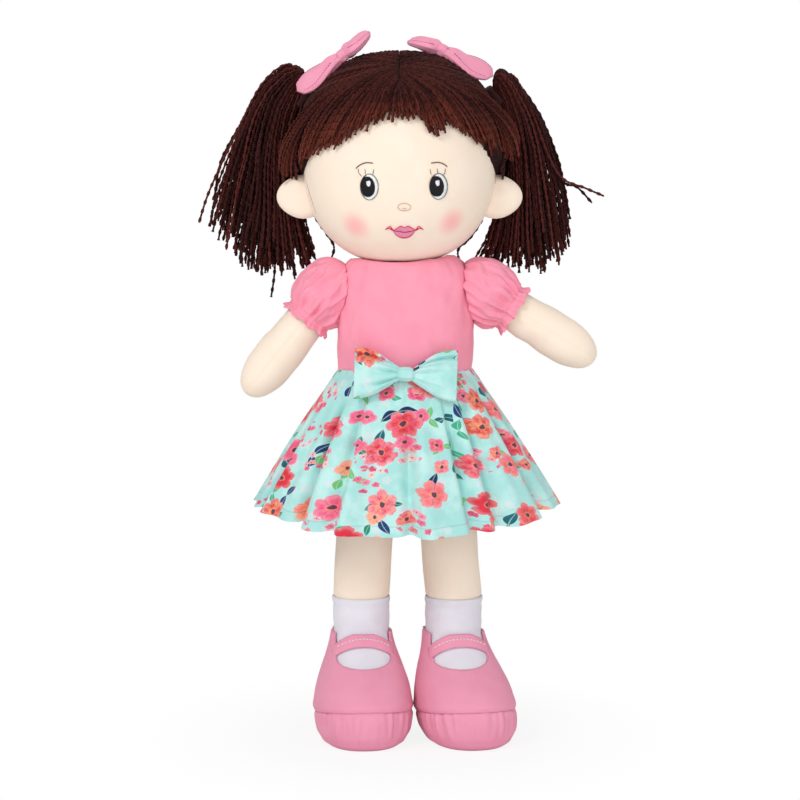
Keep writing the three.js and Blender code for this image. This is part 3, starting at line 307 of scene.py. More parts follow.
def make_knit():
    """Columns of small loops, wales across and courses along, on a vector in metres."""
    group, start, end = new_group(
        "knit", [("Vector", "Vector", None), ("Wales per metre", "Float", 1400.0)], [("Height", "Float")])
    parts = scaled_parts(group, start)
    wale = math_node(group, "PINGPONG", parts[0], 0.5)
    slant = math_node(group, "MULTIPLY_ADD", wale, 1.1, times(group, parts[1], 1.3))
    loop = math_node(group, "ABSOLUTE", math_node(group, "SINE", times(group, slant, math.pi)))
    hollow = math_node(group, "SINE", times(group, wale, math.tau))
    wire_out(group, end, [times(group, math_node(group, "ABSOLUTE", hollow), loop)])
    return group


def make_nap():
    """Short brushed fibres, as a fine and a coarse noise, and a soft blotching for the dye."""
    group, start, end = new_group(
        "nap", [("Vector", "Vector", None), ("Fibres per metre", "Float", 1500.0)],
        [("Height", "Float"), ("Blotch", "Float")])
    fine = add_node(group, "TexNoise", {"Vector": start.outputs[0], "Scale": start.outputs[1], "Detail": 3.0})
    inputs = {"Vector": start.outputs[0], "Scale": 55.0, "Detail": 4.0, "Roughness": 0.6}
    coarse = add_node(group, "TexNoise", inputs)
    wire_out(group, end, [fine.outputs["Fac"], coarse.outputs["Fac"]])
    return group


WEAVE, KNIT, NAP = make_weave(), make_knit(), make_nap()
print("node groups", [group.name for group in bpy.data.node_groups])


# %% [markdown]
# ## Plain dyed cloth
# The skin is a smooth knit with a short nap, the bodice is plain cotton, the bows and shoes are felt and
# the socks are a white knit. All of them are one dye colour that is a little uneven. So one function
# makes them, with the fabric's own height pattern and the depth of its nap as its values.

# %% Dyed fabrics
def dyed_fabric(name, colour, shade, pattern, scale, depth, nap_scale=1500.0, nap_depth=0.5, on_cloth=True,
                sheen=0.3):
    """Fabric of one dye. Its pattern lies on the flat cloth, or on the object if on_cloth is false."""
    material, tree, shader = new_material(name, sheen=sheen)
    source = add_node(tree, "UVMap", uv_map="cloth").outputs[0] if on_cloth else object_place(tree)
    place = object_place(tree)
    threads = place_group(tree, pattern, {0: source, 1: scale}).outputs[0]
    nap = place_group(tree, NAP, {0: place, 1: nap_scale})
    height = math_node(tree, "MULTIPLY_ADD", nap.outputs[0], nap_depth, threads)
    add_bump(tree, shader, depth, 0.0004, height)
    dye = mix_colour(tree, times(tree, ramp(tree, nap.outputs[1], 0.35, 0.65), 0.35), colour, shade)
    # The weave's hollows are painted darker towards the shade colour: painted shade between the threads
    painted_weave_shade = mix_colour(tree, math_node(tree, "MULTIPLY_ADD", threads, -0.22, 0.22), dye, shade)
    tree.links.new(painted_weave_shade, shader.inputs["Base Color"])
    return material


SKIN = dyed_fabric(
    "skin knit", srgb(252, 236, 219), srgb(247, 226, 204), KNIT, 1500.0, 0.25, 900.0, 0.9, False, 0.1)
PINK_COTTON = dyed_fabric(
    "pink cotton", srgb(251, 160, 182), srgb(243, 140, 167), WEAVE, 3000.0, 0.25, sheen=0.1)
PINK_FELT = dyed_fabric(
    "pink felt", srgb(242, 160, 186), srgb(233, 144, 174), WEAVE, 2200.0, 0.3, 1100.0, 1.0, sheen=0.12)
WHITE_KNIT = dyed_fabric(
    "white sock knit", srgb(240, 238, 246), srgb(222, 219, 232), KNIT, 900.0, 0.4, sheen=0.2)
FILLING = dyed_fabric(
    "polyester filling", srgb(240, 238, 232), srgb(220, 216, 208), KNIT, 300.0, 0.5, 400.0, 2.0, False)
ELASTIC = dyed_fabric(
    "white elastic", srgb(244, 244, 242), srgb(214, 212, 208), KNIT, 1200.0, 0.6, on_cloth=False)
print("fabrics", [material.name for material in bpy.data.materials])

# %% [markdown]
# ## The head
# The head is a stuffed bag that is a little fuller than an ellipsoid, with a socket below for the neck.
# A sphere could be scaled, but its outline would be too thin at the cheeks. The bag's outline is a curve
# of power 2.2 in both directions, and the same formula later says where the thread and hair lie on it.

# %% Head
HEAD_CENTRE = Vector((-3.8, 0, 366))
HEAD_HALF = Vector((61, 52, 63))
FULLNESS = 2.2
NECK_HOLE = 17.5
# The hollow that the neck sits in, from its top down: its radius and its height
NECK_SOCKET = [(0.01, 332), (9, 330), (14.6, 323), (15.6, 314), (16.6, 308)]
SIDE_SEAM_WIDTH, SIDE_SEAM_SHARE = 0.002, 0.005


def head_row(rise):
    """How far out the head reaches, as a share, at a height that is a share of its half height."""
    return (1 - min(abs(rise), 1) ** FULLNESS) ** (1 / FULLNESS)


def make_head():
    rows, socket_rows = 44, len(NECK_SOCKET)
    hole_share = NECK_HOLE / HEAD_HALF.x
    lowest = math.asin(-((1 - hole_share**FULLNESS) ** 0.5)) / (math.pi / 2)

    def place(u, v):
        angle, row = math.pi / 2 + math.tau * u, round(v * (rows + socket_rows))
        if row < socket_rows:
            radius, height = NECK_SOCKET[row]
            return ring_point(angle, radius, radius) + Vector((0, 0, height))
        latitude = lerp(lowest, 1, (row - socket_rows) / rows) * math.pi / 2
        rise, reach = bulge(math.sin(latitude), FULLNESS), bulge(max(math.cos(latitude), 0), FULLNESS)
        side_seam = SIDE_SEAM_SHARE * ridge(math.cos(angle) ** 2 - 1, SIDE_SEAM_WIDTH)
        point = ring_point(angle, HEAD_HALF.x * reach, HEAD_HALF.y * reach)
        return HEAD_CENTRE + point * (1 - side_seam) + Vector((0, 0, HEAD_HALF.z * rise))

    bm = face_outwards(bent_grid(80, rows + socket_rows, place, (0.35, 0.19)))
    return finish_piece("head", bm, "head", SKIN_FACE)


def on_head(across, height, stand=0.0):
    """The point on the front of the head at a place across and a height, both in mm."""
    reach = head_row((height - HEAD_CENTRE.z) / (HEAD_HALF.z + stand))
    deep = 1 - ((across - HEAD_CENTRE.x) / ((HEAD_HALF.x + stand) * reach)) ** 2
    return Vector((across, -(HEAD_HALF.y + stand) * reach * math.sqrt(max(deep, 0)), height))


def sight(column, row):
    """The way from the camera to a place of its picture, in metres, as far as the doll's middle."""
    look = AIM - CAMERA_PLACE
    right = look.cross(Vector((0, 0, 1))).normalized()
    up = right.cross(look).normalized()
    return look + (right * (column - PICTURE / 2) + up * (PICTURE / 2 - row)) * VIEW_WIDTH / PICTURE


def seen_at(column, row, deep):
    """The point in mm that the camera shows at a place of its picture, where that is so deep along Y."""
    way = sight(column, row)
    return (CAMERA_PLACE + way * ((deep * MM - CAMERA_PLACE.y) / way.y)) / MM


def seen_on_head(column, row, stand=0.0):
    """The point on the head that the camera shows at a place of its picture, in mm."""
    way, half = sight(column, row), HEAD_HALF + Vector((stand, stand, stand))

    def outside(share):
        at = (CAMERA_PLACE + way * share) / MM - HEAD_CENTRE
        level = ((at.x / half.x) ** 2 + (at.y / half.y) ** 2) ** (FULLNESS / 2)
        return level + abs(at.z / half.z) ** FULLNESS - 1

    near, far, steps = 0.9, 1.0, 60
    shares = [lerp(near, far, step / steps) for step in range(steps + 1)]
    hit = next((share for share in shares if outside(share) < 0), min(shares, key=outside))
    low, high = hit - (far - near) / steps, hit
    for _ in range(20):
        middle = (low + high) / 2
        low, high = (middle, high) if outside(middle) > 0 else (low, middle)
    return (CAMERA_PLACE + way * high) / MM


# %% [markdown]
# ## Skin with rouge
# The cheeks are rubbed with a soft pink. It could be a second thin piece, but rouge has no thickness, so
# it is in the head's own material: the distance to each cheek's point, faded out with a soft ramp.

# %% Face material
CHEEKS = [seen_on_head(355.5, 226), seen_on_head(452, 222)]
ROUGE_RADIUS, ROUGE_STRENGTH, ROUGE = 11, 0.75, srgb(255, 176, 176)


def rouged_skin():
    material = SKIN.copy()
    material.name = "face knit with rouge"
    tree = material.node_tree
    shader = tree.nodes["Principled BSDF"]
    colour = shader.inputs["Base Color"].links[0].from_socket
    place = object_place(tree)
    for cheek in CHEEKS:
        away = vector_node(tree, "DISTANCE", {0: place, 1: cheek * MM}, "Value")
        share = ramp(tree, away, ROUGE_RADIUS * 0.1 * MM, ROUGE_RADIUS * 1.15 * MM, ROUGE_STRENGTH, 0.0)
        colour = mix_colour(tree, share, colour, ROUGE)
    tree.links.new(colour, shader.inputs["Base Color"])
    return material


SKIN_FACE = rouged_skin()
head = make_head()
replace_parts(head, "head_skin")
print("head", size_of(head), "cheeks at", [tuple(round(v) for v in cheek) for cheek in CHEEKS])

# %% [markdown]
# ## Ears
# Each ear is two flat discs sewn edge to edge, turned, stuffed and set into the head's side seam. A ball
# pressed flat would have a round edge. Here the thickness falls faster towards the edge, so that the
# sewn rim shows as a ridge, and the inner half dips where the seam draws it in.

# %% Ears
EAR_CENTRE, EAR_HALF = Vector((61.5, 0, 346)), Vector((16.5, 5.5, 14))


def make_ear(name, sign):
    def place(u, v):
        angle, reach = math.tau * u, math.sin(math.pi * v)
        half = math.copysign(1, math.cos(math.pi * v))
        thick = EAR_HALF.y * (1 - reach**2.6) ** 0.75 * half
        dip = 0.9 * ridge(reach - 0.45, 0.25) * math.copysign(1, thick)
        x, y, z = EAR_HALF.x * reach * math.cos(angle), thick - dip, EAR_HALF.z * reach * math.sin(angle)
        z *= 1 - 0.1 * smoothstep(x, -2, EAR_HALF.x)
        return Vector((HEAD_CENTRE.x + sign * (EAR_CENTRE.x + x), y, EAR_CENTRE.z + z))

    ear = finish_piece(name, face_outwards(bent_grid(40, 28, place, (0.07, 0.03))), "head", SKIN)
    return ear


for side, sign in SIDES.items():
    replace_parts(make_ear(f"ear_{side}_sewn", sign), f"ear_{side}")

# %% [markdown]
# ## Thread and yarn
# Both are spun from plies that wind round each other. A displaced cylinder would need very many faces.
# A curve with a bevel profile is lighter: the profile is a small star, one arm for each ply, and the tilt
# of the curve's points turns it along the way, so that its grooves wind as they do in real yarn. The
# curve is then made a mesh, and each ring of points keeps its strand's own tone in an attribute.

# %% Strands
# How far the plies turn from one strand to the next and from point to point, in radians, and the ends in mm
STRAND_PHASE, STRAND_TURN, STRAND_END = 2.4, 0.9, 0.1


def make_profile(name, radius, plies, hollow):
    """The section of a thread: a star with an arm for each ply, and hollows that share of its radius out."""
    curve = bpy.data.curves.new(name, "CURVE")
    curve.dimensions = "2D"
    spline = curve.splines.new("POLY")
    count = 2 * plies
    spline.points.add(count - 1)
    for i, point in enumerate(spline.points):
        reach = radius * MM * (hollow if i % 2 else 1)
        turn = math.tau * i / count
        point.co = (reach * math.cos(turn), reach * math.sin(turn), 0, 1)
    spline.use_cyclic_u = True
    profile = bpy.data.objects.new(name, curve)
    bpy.context.collection.objects.link(profile)
    return profile


def make_strands(name, strands, profile, body, material):
    """Makes one piece of strands: dicts of points in mm, a tone, and perhaps sizes and pale tips."""
    curve = bpy.data.curves.new(name + "_line", "CURVE")
    curve.dimensions, curve.bevel_mode = "3D", "OBJECT"
    curve.bevel_object = profile
    tones = []
    for strand in strands:
        points = [strand["points"][0], *strand["points"], strand["points"][-1]]
        sizes = [0.0, *(strand.get("sizes") or [1.0] * (len(points) - 2)), 0.0]
        tips = strand.get("tips") or [0.0] * (len(points) - 2)
        points[0] = points[0] - (points[2] - points[1]).normalized() * STRAND_END
        points[-1] = points[-1] + (points[-2] - points[-3]).normalized() * STRAND_END
        spline = curve.splines.new("POLY")
        spline.points.add(len(points) - 1)
        spline.points.foreach_set("co", [x for p in points for x in (p.x * MM, p.y * MM, p.z * MM, 1)])
        phase = STRAND_PHASE * len(curve.splines)
        spline.points.foreach_set("tilt", [phase + STRAND_TURN * i for i in range(len(points))])
        spline.points.foreach_set("radius", sizes)
        tones += [(strand["tone"], tip, 0, 1) for tip in (tips[0], *tips, tips[-1])]
    line = bpy.data.objects.new(name + "_line", curve)
    bpy.context.collection.objects.link(line)
    evaluated = line.evaluated_get(bpy.context.evaluated_depsgraph_get())
    mesh = bpy.data.meshes.new_from_object(evaluated)
    bpy.data.objects.remove(line)
    mesh.name = name
    around = len(mesh.vertices) // len(tones)
    tone = mesh.attributes.new("tone", "FLOAT_COLOR", "POINT")
    tone.data.foreach_set("color", [x for one in tones for _ in range(around) for x in one])
    bm = bmesh.new()
    bm.from_mesh(mesh)
    bmesh.ops.remove_doubles(bm, verts=bm.verts, dist=1e-6)
    bm.to_mesh(mesh)
    bm.free()
    mesh.materials.clear()
    mesh.materials.append(material)
    mesh.shade_smooth()
    return place_piece(name, mesh, body)


def even_points(points, step):
    """Lays points at even steps along a line of points."""
    made, left = [points[0].copy()], step
    for start, end in zip(points, points[1:]):
        length, done = (end - start).length, 0.0
        while length - done > left:
            done += left
            made.append(start.lerp(end, done / length))
            left = step
        left -= length - done
    return made


THREAD = make_profile("thread_profile", 0.21, 3, 0.86)


# %% [markdown]
# ## Embroidered face
# The eyes, nose and mouth are sewn on with thread. They could be painted in the material, but real satin
# stitches catch the light along their length. Each stitch here is a thread of its own that rises out of
# the knit, crosses the shape and goes down again, and later shapes lie on top of earlier ones.

# %% Stitches
# Lengths in mm: how finely a shape is searched, and the steps along a satin stitch and along a sewn line
SEARCH_STEP, SATIN_STEP, LINE_STEP = 0.12, 0.9, 0.45


def embroidery(name, colour):
    material, tree, shader = new_material("embroidery " + name, 0.55, 0.0, 0.25)
    nap = place_group(tree, NAP, {0: object_place(tree), 1: 3000.0})
    darker = (*[part * 0.9 for part in colour[:3]], 1)
    shade = mix_colour(tree, ramp(tree, nap.outputs[0], 0.3, 0.7), colour, darker)
    add_bump(tree, shader, 0.2, 0.0001, nap.outputs[0])
    tree.links.new(shade, shader.inputs["Base Color"])
    return material


def satin(centre, inside, half, slant=0.0, spacing=0.3, rise=0.25):
    """Side by side stitches that fill the shape where inside(x, z) is true, round a centre on the face."""
    stitches = []
    along = Vector((math.cos(slant), math.sin(slant)))
    across = Vector((-along.y, along.x))
    for i in range(int(2 * half / spacing)):
        offset = (i + 0.5) * spacing - half
        run = [across * offset + along * (k * SEARCH_STEP - half) for k in range(int(2 * half / SEARCH_STEP))]
        kept = [p for p in run if inside(p.x, p.y)]
        if len(kept) < 4:
            continue
        count = max(4, int((kept[-1] - kept[0]).length / SATIN_STEP))
        points = []
        for k in range(count + 1):
            flat = kept[0].lerp(kept[-1], k / count)
            lift = rise * (0.35 + 0.65 * abs(math.sin(math.pi * k / count)) ** 0.3)
            points.append(on_head(centre.x + flat.x, centre.z + flat.y, lift))
        stitches.append({"points": points, "tone": (i % 3) / 2})
    return stitches


def sewn_line(centre, corners, rise=0.2, size=1.0):
    """A line of backstitches through places round a centre on the face, in mm."""
    flat = even_points([Vector((x, 0, z)) for x, z in corners], LINE_STEP)
    points = [on_head(centre.x + p.x, centre.z + p.z, rise + 0.12 * (i % 3 > 0)) for i, p in enumerate(flat)]
    ends = [min(i, len(points) - 1 - i) for i in range(len(points))]
    return {"points": points, "tone": 0.5, "sizes": [size * (0.6 if end == 0 else 1) for end in ends]}


def oval(half_x, half_z, shift_x=0.0, shift_z=0.0):
    return lambda x, z: ((x - shift_x) / half_x) ** 2 + ((z - shift_z) / half_z) ** 2 < 1


def arc(half_x, half_z, start, step, count):
    """Places on an oval from a start, in half turns."""
    turns = [math.pi * (start + k / step) for k in range(count)]
    return [(half_x * math.cos(turn), half_z * math.sin(turn)) for turn in turns]


def curved(points, steps=10):
    """A smooth line through points, for brows, lashes and lips."""
    table = [(i, *point) for i, point in enumerate(points)]
    count = (len(points) - 1) * steps
    return [read_smooth(table, i / steps) for i in range(count + 1)]


# %% Eyes
# Each eye's place in the picture and how far its pupil is moved in mm, and how far out its shapes may go
EYES = [(369.3, 187, -0.85), (438.6, 186.5, -1.0)]
EYE_REACH = 8.2


def both_eyes():
    white, teal, dark, light, brown = [], [], [], [], []
    for column, row, look in EYES:
        eye = seen_on_head(column, row)
        teal += satin(eye, oval(5.55, 7.95), EYE_REACH, 0.05, rise=0.2)
        white += satin(eye, oval(5.2, 7.55, -0.05, 0), EYE_REACH, 0.05, rise=0.35)
        dark += satin(eye, oval(4.45, 6.7, look, 0.1), EYE_REACH, 1.2, spacing=0.25, rise=0.62)
        light += satin(eye, oval(1.8, 2.2, look + 0.3, 2.4), 3.8, 0.2, rise=0.9)
        brown.append(sewn_line(eye, arc(5.6, 7.9, 0, 20, 41), 0.3, 0.8))
        brown.append(sewn_line(eye, arc(5.5, 7.7, 0.62, 50, 20), 0.55, 1.5))
    return {"eye_white": white, "eye_teal": teal, "eye_dark": dark, "eye_light": light, "eye_rim": brown}


THREADS = {
    "eye_white": embroidery("white", srgb(255, 255, 255)),
    "eye_teal": embroidery("pale teal", srgb(190, 224, 226)),
    "eye_dark": embroidery("black", srgb(22, 22, 26)),
    "eye_light": embroidery("lilac white", srgb(255, 250, 255)),
    "eye_rim": embroidery("dark brown", srgb(74, 58, 52)),
    "brow": embroidery("brown", srgb(92, 68, 62)),
    "lip_fill": embroidery("rose", srgb(255, 168, 199)),
    "lip_line": embroidery("deep rose", srgb(232, 66, 118)),
    "nose_line": embroidery("tan", srgb(224, 190, 168)),
    # The ear seam's tan is darker than the skin: it paints the shade in the crease where each ear meets the
    # head
    "seam": embroidery("ear seam with painted crease shade", srgb(214, 156, 132)),
}
face_threads = both_eyes()

# Brows and lashes, as places in the picture
BROWS = [
    [(355.7, 168.5), (360, 165), (366, 162.7), (373.4, 163.2)],
    [(431, 163.2), (438, 162.3), (443.5, 164), (447.6, 167)],
]
LASHES = [
    [(358.2, 168.6), (358.8, 173), (361.8, 176.5)], [(365, 169), (365.4, 174.6)],
    [(373.8, 169.3), (372.8, 175)], [(430, 169), (431.2, 175)], [(437.3, 168.6), (437.8, 174.3)],
    [(445.4, 168.6), (444.8, 173), (442.4, 176)],
]
face_threads["brow"] = []
for lines, size in ((BROWS, 1.7), (LASHES, 0.9)):
    for line in lines:
        places = [seen_on_head(*spot) for spot in line]
        corners = [(p.x - places[0].x, p.z - places[0].z) for p in places]
        face_threads["brow"].append(sewn_line(places[0], curved(corners, 6), 0.2, size))
print("stitches round the eyes", sum(len(stitches) for stitches in face_threads.values()))

# %% Nose and mouth
NOSE, MOUTH = seen_on_head(404.3, 207), seen_on_head(404.3, 232)
NOSTRILS = [(-1.6, -0.6), (0, -1.1), (1.6, -0.6)]
# Where the ears are sewn in, as places in the picture; the tan thread laid there is the seam, and its darker
# colour paints the shade of the crease
EAR_SEAMS = [
    [(304.5, 174), (308, 188), (312, 201), (316.5, 214)],
    [(495, 176), (494.5, 190), (492.5, 203), (488.6, 217)],
]
# The lips as lines in mm round the mouth's middle, and the curls of its corners
UPPER_LIP = [(-6.7, 0.7), (-4.0, 2.6), (-1.8, 3.6), (0.1, 2.6), (2.0, 3.6), (4.2, 2.8), (6.7, 1.1)]
LIP_LINE = [(-6.7, 0.7), (-3.2, 0.3), (0, -0.3), (3.2, 0.3), (6.7, 1.1)]
LOWER_LIP = [(-6.7, 0.7), (-4.9, -2.0), (-2.3, -3.5), (0, -3.8), (2.3, -3.5), (4.9, -1.8), (6.7, 1.1)]
CURLS = [
    [(6.4, 0.9), (7.6, 2.0), (8.7, 3.4), (9.9, 2.8), (12.0, 1.2)],
    [(6.4, 0.7), (8.0, 1.3), (9.6, 2.2), (11.6, 1.4)],
    [(7.2, 1.2), (8.8, 2.6)],
]


def between(low, high):
    """A test for the area between two lines that run from left to right."""
    lines = [curved(low), curved(high)]

    def height(line, x):
        spans = (pair for pair in zip(line, line[1:]) if pair[0][0] <= x < pair[1][0])
        return next((lerp(a[1], b[1], (x - a[0]) / (b[0] - a[0])) for a, b in spans), 0)

    return lambda x, z: abs(x) < 6.5 and height(lines[0], x) < z < height(lines[1], x)


nose = arc(3.9, 2.25, 0, 16, 33)
face_threads["nose_line"] = [sewn_line(NOSE, nose, 0.2, 1.2), sewn_line(NOSE, NOSTRILS, 0.2, 1.1)]
face_threads["seam"] = []
for seam in EAR_SEAMS:
    places = curved([seen_on_head(*spot) for spot in seam], 8)
    line = even_points([Vector(spot) for spot in places], LINE_STEP)
    face_threads["seam"].append({"points": line, "tone": 0.5, "sizes": [1.2] * len(line)})
face_threads["lip_fill"] = satin(MOUTH, between(LIP_LINE, UPPER_LIP), 7, 1.35, 0.34, 0.4)
face_threads["lip_fill"] += satin(MOUTH, between(LOWER_LIP, LIP_LINE), 7, 1.8, 0.34, 0.4)
lips = (UPPER_LIP, LIP_LINE, LOWER_LIP)
face_threads["lip_line"] = [sewn_line(MOUTH, curved(line), 0.45, 1.25) for line in lips]
for sign in SIDES.values():
    for curl in CURLS:
        path = curved([(sign * x, z) for x, z in curl], 6)
        face_threads["lip_line"].append(sewn_line(MOUTH, path, 0.3, 1.5))
for title, stitches in face_threads.items():
    make_strands("stitches_" + title, stitches, THREAD, "head", THREADS[title])
print("face", {title: len(stitches) for title, stitches in face_threads.items()})

# %% [markdown]
# ## The body, arms and legs
# These are stuffed bags of the same knit. Their rings come from the solids: a body that is sewn flat along
# its lower edge, arms that start as a flat seam and end in a round hand, and legs that hang from a flat
# seam at the hip. A real bag also shows its seam, so a groove runs along each limb with small puckers.

# %% Body
HIP, SHOULDER_TOP, WAIST = 195, 309, 237
BODY_BOTTOM, BODY_HALF, BODY_WEDGE, SEAM_ROLL = 196.5, (42, 30), 40, 1.2
# The body's width and depth as shares of its half sizes, over its height
BODY_SHARES = [
    (0, 0.9, 0.97), (0.06, 0.96, 0.97), (0.12, 0.985, 0.97), (0.18, 1, 0.97), (0.26, 0.995, 0.95),
    (0.36, 0.975, 0.93), (0.52, 0.985, 1), (0.7, 1, 0.97), (0.8, 0.985, 0.89), (0.88, 0.955, 0.8),
    (0.93, 0.9, 0.72), (0.97, 0.81, 0.62), (1, 0.7, 0.5),
]
BODY_INSET, BODY_HOLLOW_ROOM = -0.05, 6.3


def body_share(height):
    return (height - BODY_BOTTOM) / (SHOULDER_TOP - BODY_BOTTOM)


def body_ring(share, grow, angle):
    width, depth = read_shares(BODY_SHARES, share)
    height = lerp(BODY_BOTTOM, SHOULDER_TOP, share)
    filled = smoothstep(height - BODY_BOTTOM, 0, BODY_WEDGE)
    half_depth = lerp(SEAM_ROLL, BODY_HALF[1] * depth, filled)
    point = ring_point(angle, BODY_HALF[0] * width + grow, half_depth + grow, FULLNESS)
    return point + Vector((0, 0, height))


def hollow_height(across, deep, room, half_deep=HEAD_HALF.x):
    """How low the hollow for the head is, over a place across and deep from its middle."""
    away = math.hypot(across / (HEAD_HALF.x + room), deep / (half_deep + room))
    return HEAD_CENTRE.z - (HEAD_HALF.z + room) * (1 - min(away, 1) ** FULLNESS) ** (1 / FULLNESS)


def make_body():
    rows = 40

    def place(u, v):
        row = round(v * rows)
        share = min(max((row - 1) / (rows - 4), 0), 1)
        reach = {0: 0.0, rows - 2: 0.6, rows - 1: 0.3, rows: 0.0}.get(row, 1.0)
        point = body_ring(share, BODY_INSET, math.tau * u)
        point.x, point.y = point.x * reach, point.y * reach
        point.z = min(point.z, hollow_height(point.x, point.y, BODY_HOLLOW_ROOM))
        return point

    bm = face_outwards(bent_grid(56, rows, place, (0.24, 0.14)))
    return finish_piece("body", bm, "torso", SKIN)


body = make_body()
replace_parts(body, "torso_skin")
print("body", size_of(body))

# %% Arms
SHOULDER = {"right": Vector((-47, 0, 288)), "left": Vector((47, 0, 288))}
ARM_DROP = {"right": 51, "left": 32}
ARM_LENGTH, ARM_RADIUS, UPPER_ARM_RADIUS, HAND_TAPER, ARM_WEDGE, HAND_FULLNESS = 87, 14.2, 12.4, 27, 22, 2.15
ARM_SEAM_HALF, SEAM_TUCK, ELBOW = 12.5, 0.8, 45


def arm_frame(side):
    turn = Matrix.Rotation(SIDES[side] * math.radians(90 + ARM_DROP[side]), 4, "Y")
    return Matrix.Translation(SHOULDER[side]) @ turn


def arm_radius(length):
    return lerp(UPPER_ARM_RADIUS, ARM_RADIUS, smoothstep(length / ARM_LENGTH, 0.2, 0.6))


def make_arm(side):
    frame_here, rows = arm_frame(side), 60
    cap_start = ARM_LENGTH - HAND_TAPER
    seed = Vector((SIDES[side] * 3.1, 0, 0))

    def place(u, v):
        row, angle = round(v * rows), math.tau * u - math.pi / 2
        length = lerp(-SEAM_TUCK, ARM_LENGTH, max(row - 1, 0) / (rows - 1)) if row else -SEAM_TUCK
        reach = 0.0 if row == 0 else 1.0
        if length > cap_start:
            turn = min((length - cap_start) / HAND_TAPER, 1) * math.pi / 2
            reach = bulge(max(math.cos(turn), 0), HAND_FULLNESS)
            length = cap_start + HAND_TAPER * bulge(math.sin(turn), HAND_FULLNESS)
        filled, radius = smoothstep(length, 0, ARM_WEDGE), arm_radius(min(length, cap_start))
        half_x, half_y = lerp(SEAM_ROLL, radius, filled), lerp(ARM_SEAM_HALF, radius, filled)
        point = Vector((half_x * math.cos(angle), half_y * math.sin(angle), 0)) * reach
        from_seam = abs(math.remainder(angle + math.pi / 2, math.tau)) * radius
        wrinkle = noise.noise(Vector((0, from_seam * 0.05, length * 0.42)) + seed)
        dent = 0.75 * ridge(from_seam, 0.9) + 0.5 * ridge(from_seam, 5) * wrinkle
        dent += 0.7 * noise.noise(point * 0.07 + Vector((0, 0, length * 0.07)) + seed)
        dent += 0.8 * ridge(length - ELBOW, 6) * smoothstep(math.cos(angle), 0.2, 1)
        scale = 1 - filled * reach * (dent - 0.35) / radius
        return frame_here @ Vector((point.x * scale, point.y * scale, length))

    bm = face_outwards(bent_grid(64, rows, place, (0.092, 0.1)))
    arm = finish_piece(f"arm_{side}_knit", bm, f"arm_{side}", SKIN)
    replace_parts(arm, f"arm_skin_{side}")
    return arm


for side in SIDES:
    print("arm", side, size_of(make_arm(side)))

# %% Legs
HIP_ACROSS, ANKLE = 22.7, {"right": 28.5, "left": 31}
LEG_RADIUS, LEG_WEDGE, LEG_SEAM_HALF, LEG_BOTTOM, SOCK_TOP = 18, 30, 18.6, 82, 90


def make_leg(side):
    sign, rows = SIDES[side], 48

    def place(u, v):
        row, angle = round(v * rows), math.tau * u + math.pi / 2
        height = lerp(LEG_BOTTOM, HIP + SEAM_TUCK, min(max(row - 1, 0) / (rows - 2), 1))
        reach = 0.0 if row in (0, rows) else 1.0
        up = max((height - SOCK_TOP) / (HIP - SOCK_TOP), 0)
        filled = smoothstep(HIP - height, 0, LEG_WEDGE)
        inside = 1.3 * smoothstep(-height, -SOCK_TOP - 1.5, -SOCK_TOP + 1)
        soft = 0.6 * noise.noise(Vector((math.cos(angle), math.sin(angle) + sign * 5, height * 0.04)))
        round_off = 0.35 if height > HIP + 0.5 else 1
        half_x = lerp(LEG_SEAM_HALF, LEG_RADIUS, filled)
        half_y = lerp(SEAM_ROLL, LEG_RADIUS, filled) * round_off
        from_seam = abs(math.remainder(angle - math.pi / 2, math.tau)) * LEG_RADIUS
        change = inside + filled * (soft + filled * 0.6 * ridge(from_seam, 1.0) - 0.2)
        point = Vector(((half_x - change) * math.cos(angle), (half_y - change * filled) * math.sin(angle), 0))
        middle = sign * (ANKLE[side] - (ANKLE[side] - HIP_ACROSS) * up)
        return point * reach + Vector((middle, 0, height))

    bm = face_outwards(bent_grid(56, rows, place, (0.113, 0.114)))
    leg = finish_piece(f"leg_{side}_knit", bm, f"leg_{side}", SKIN)
    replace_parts(leg, f"leg_skin_{side}")
    return leg


for side in SIDES:
    print("leg", side, size_of(make_leg(side)))

# %% [markdown]
# ## The bodice and its puff sleeves
# The bodice is a cotton tube that is gathered a little at the neck. Each sleeve is a wide tube that is
# gathered over the shoulder and again by an elastic, past which it ends in a small frill. Gathers could be
# simulated, but few and small ones are truer when they are given: the ring's radius waves, and the
# waves are deep at the stitching and fade out over the puff.

# %% Bodice
YOKE, NECKLINE, COLLAR_ROOM = 1.5, 16, 1.2
# Creases of the stretched cotton: how far each set leans, and how close together it stands
CREASES = [(0.35, 0.07), (-0.3, 0.09), (0.9, 0.05)]


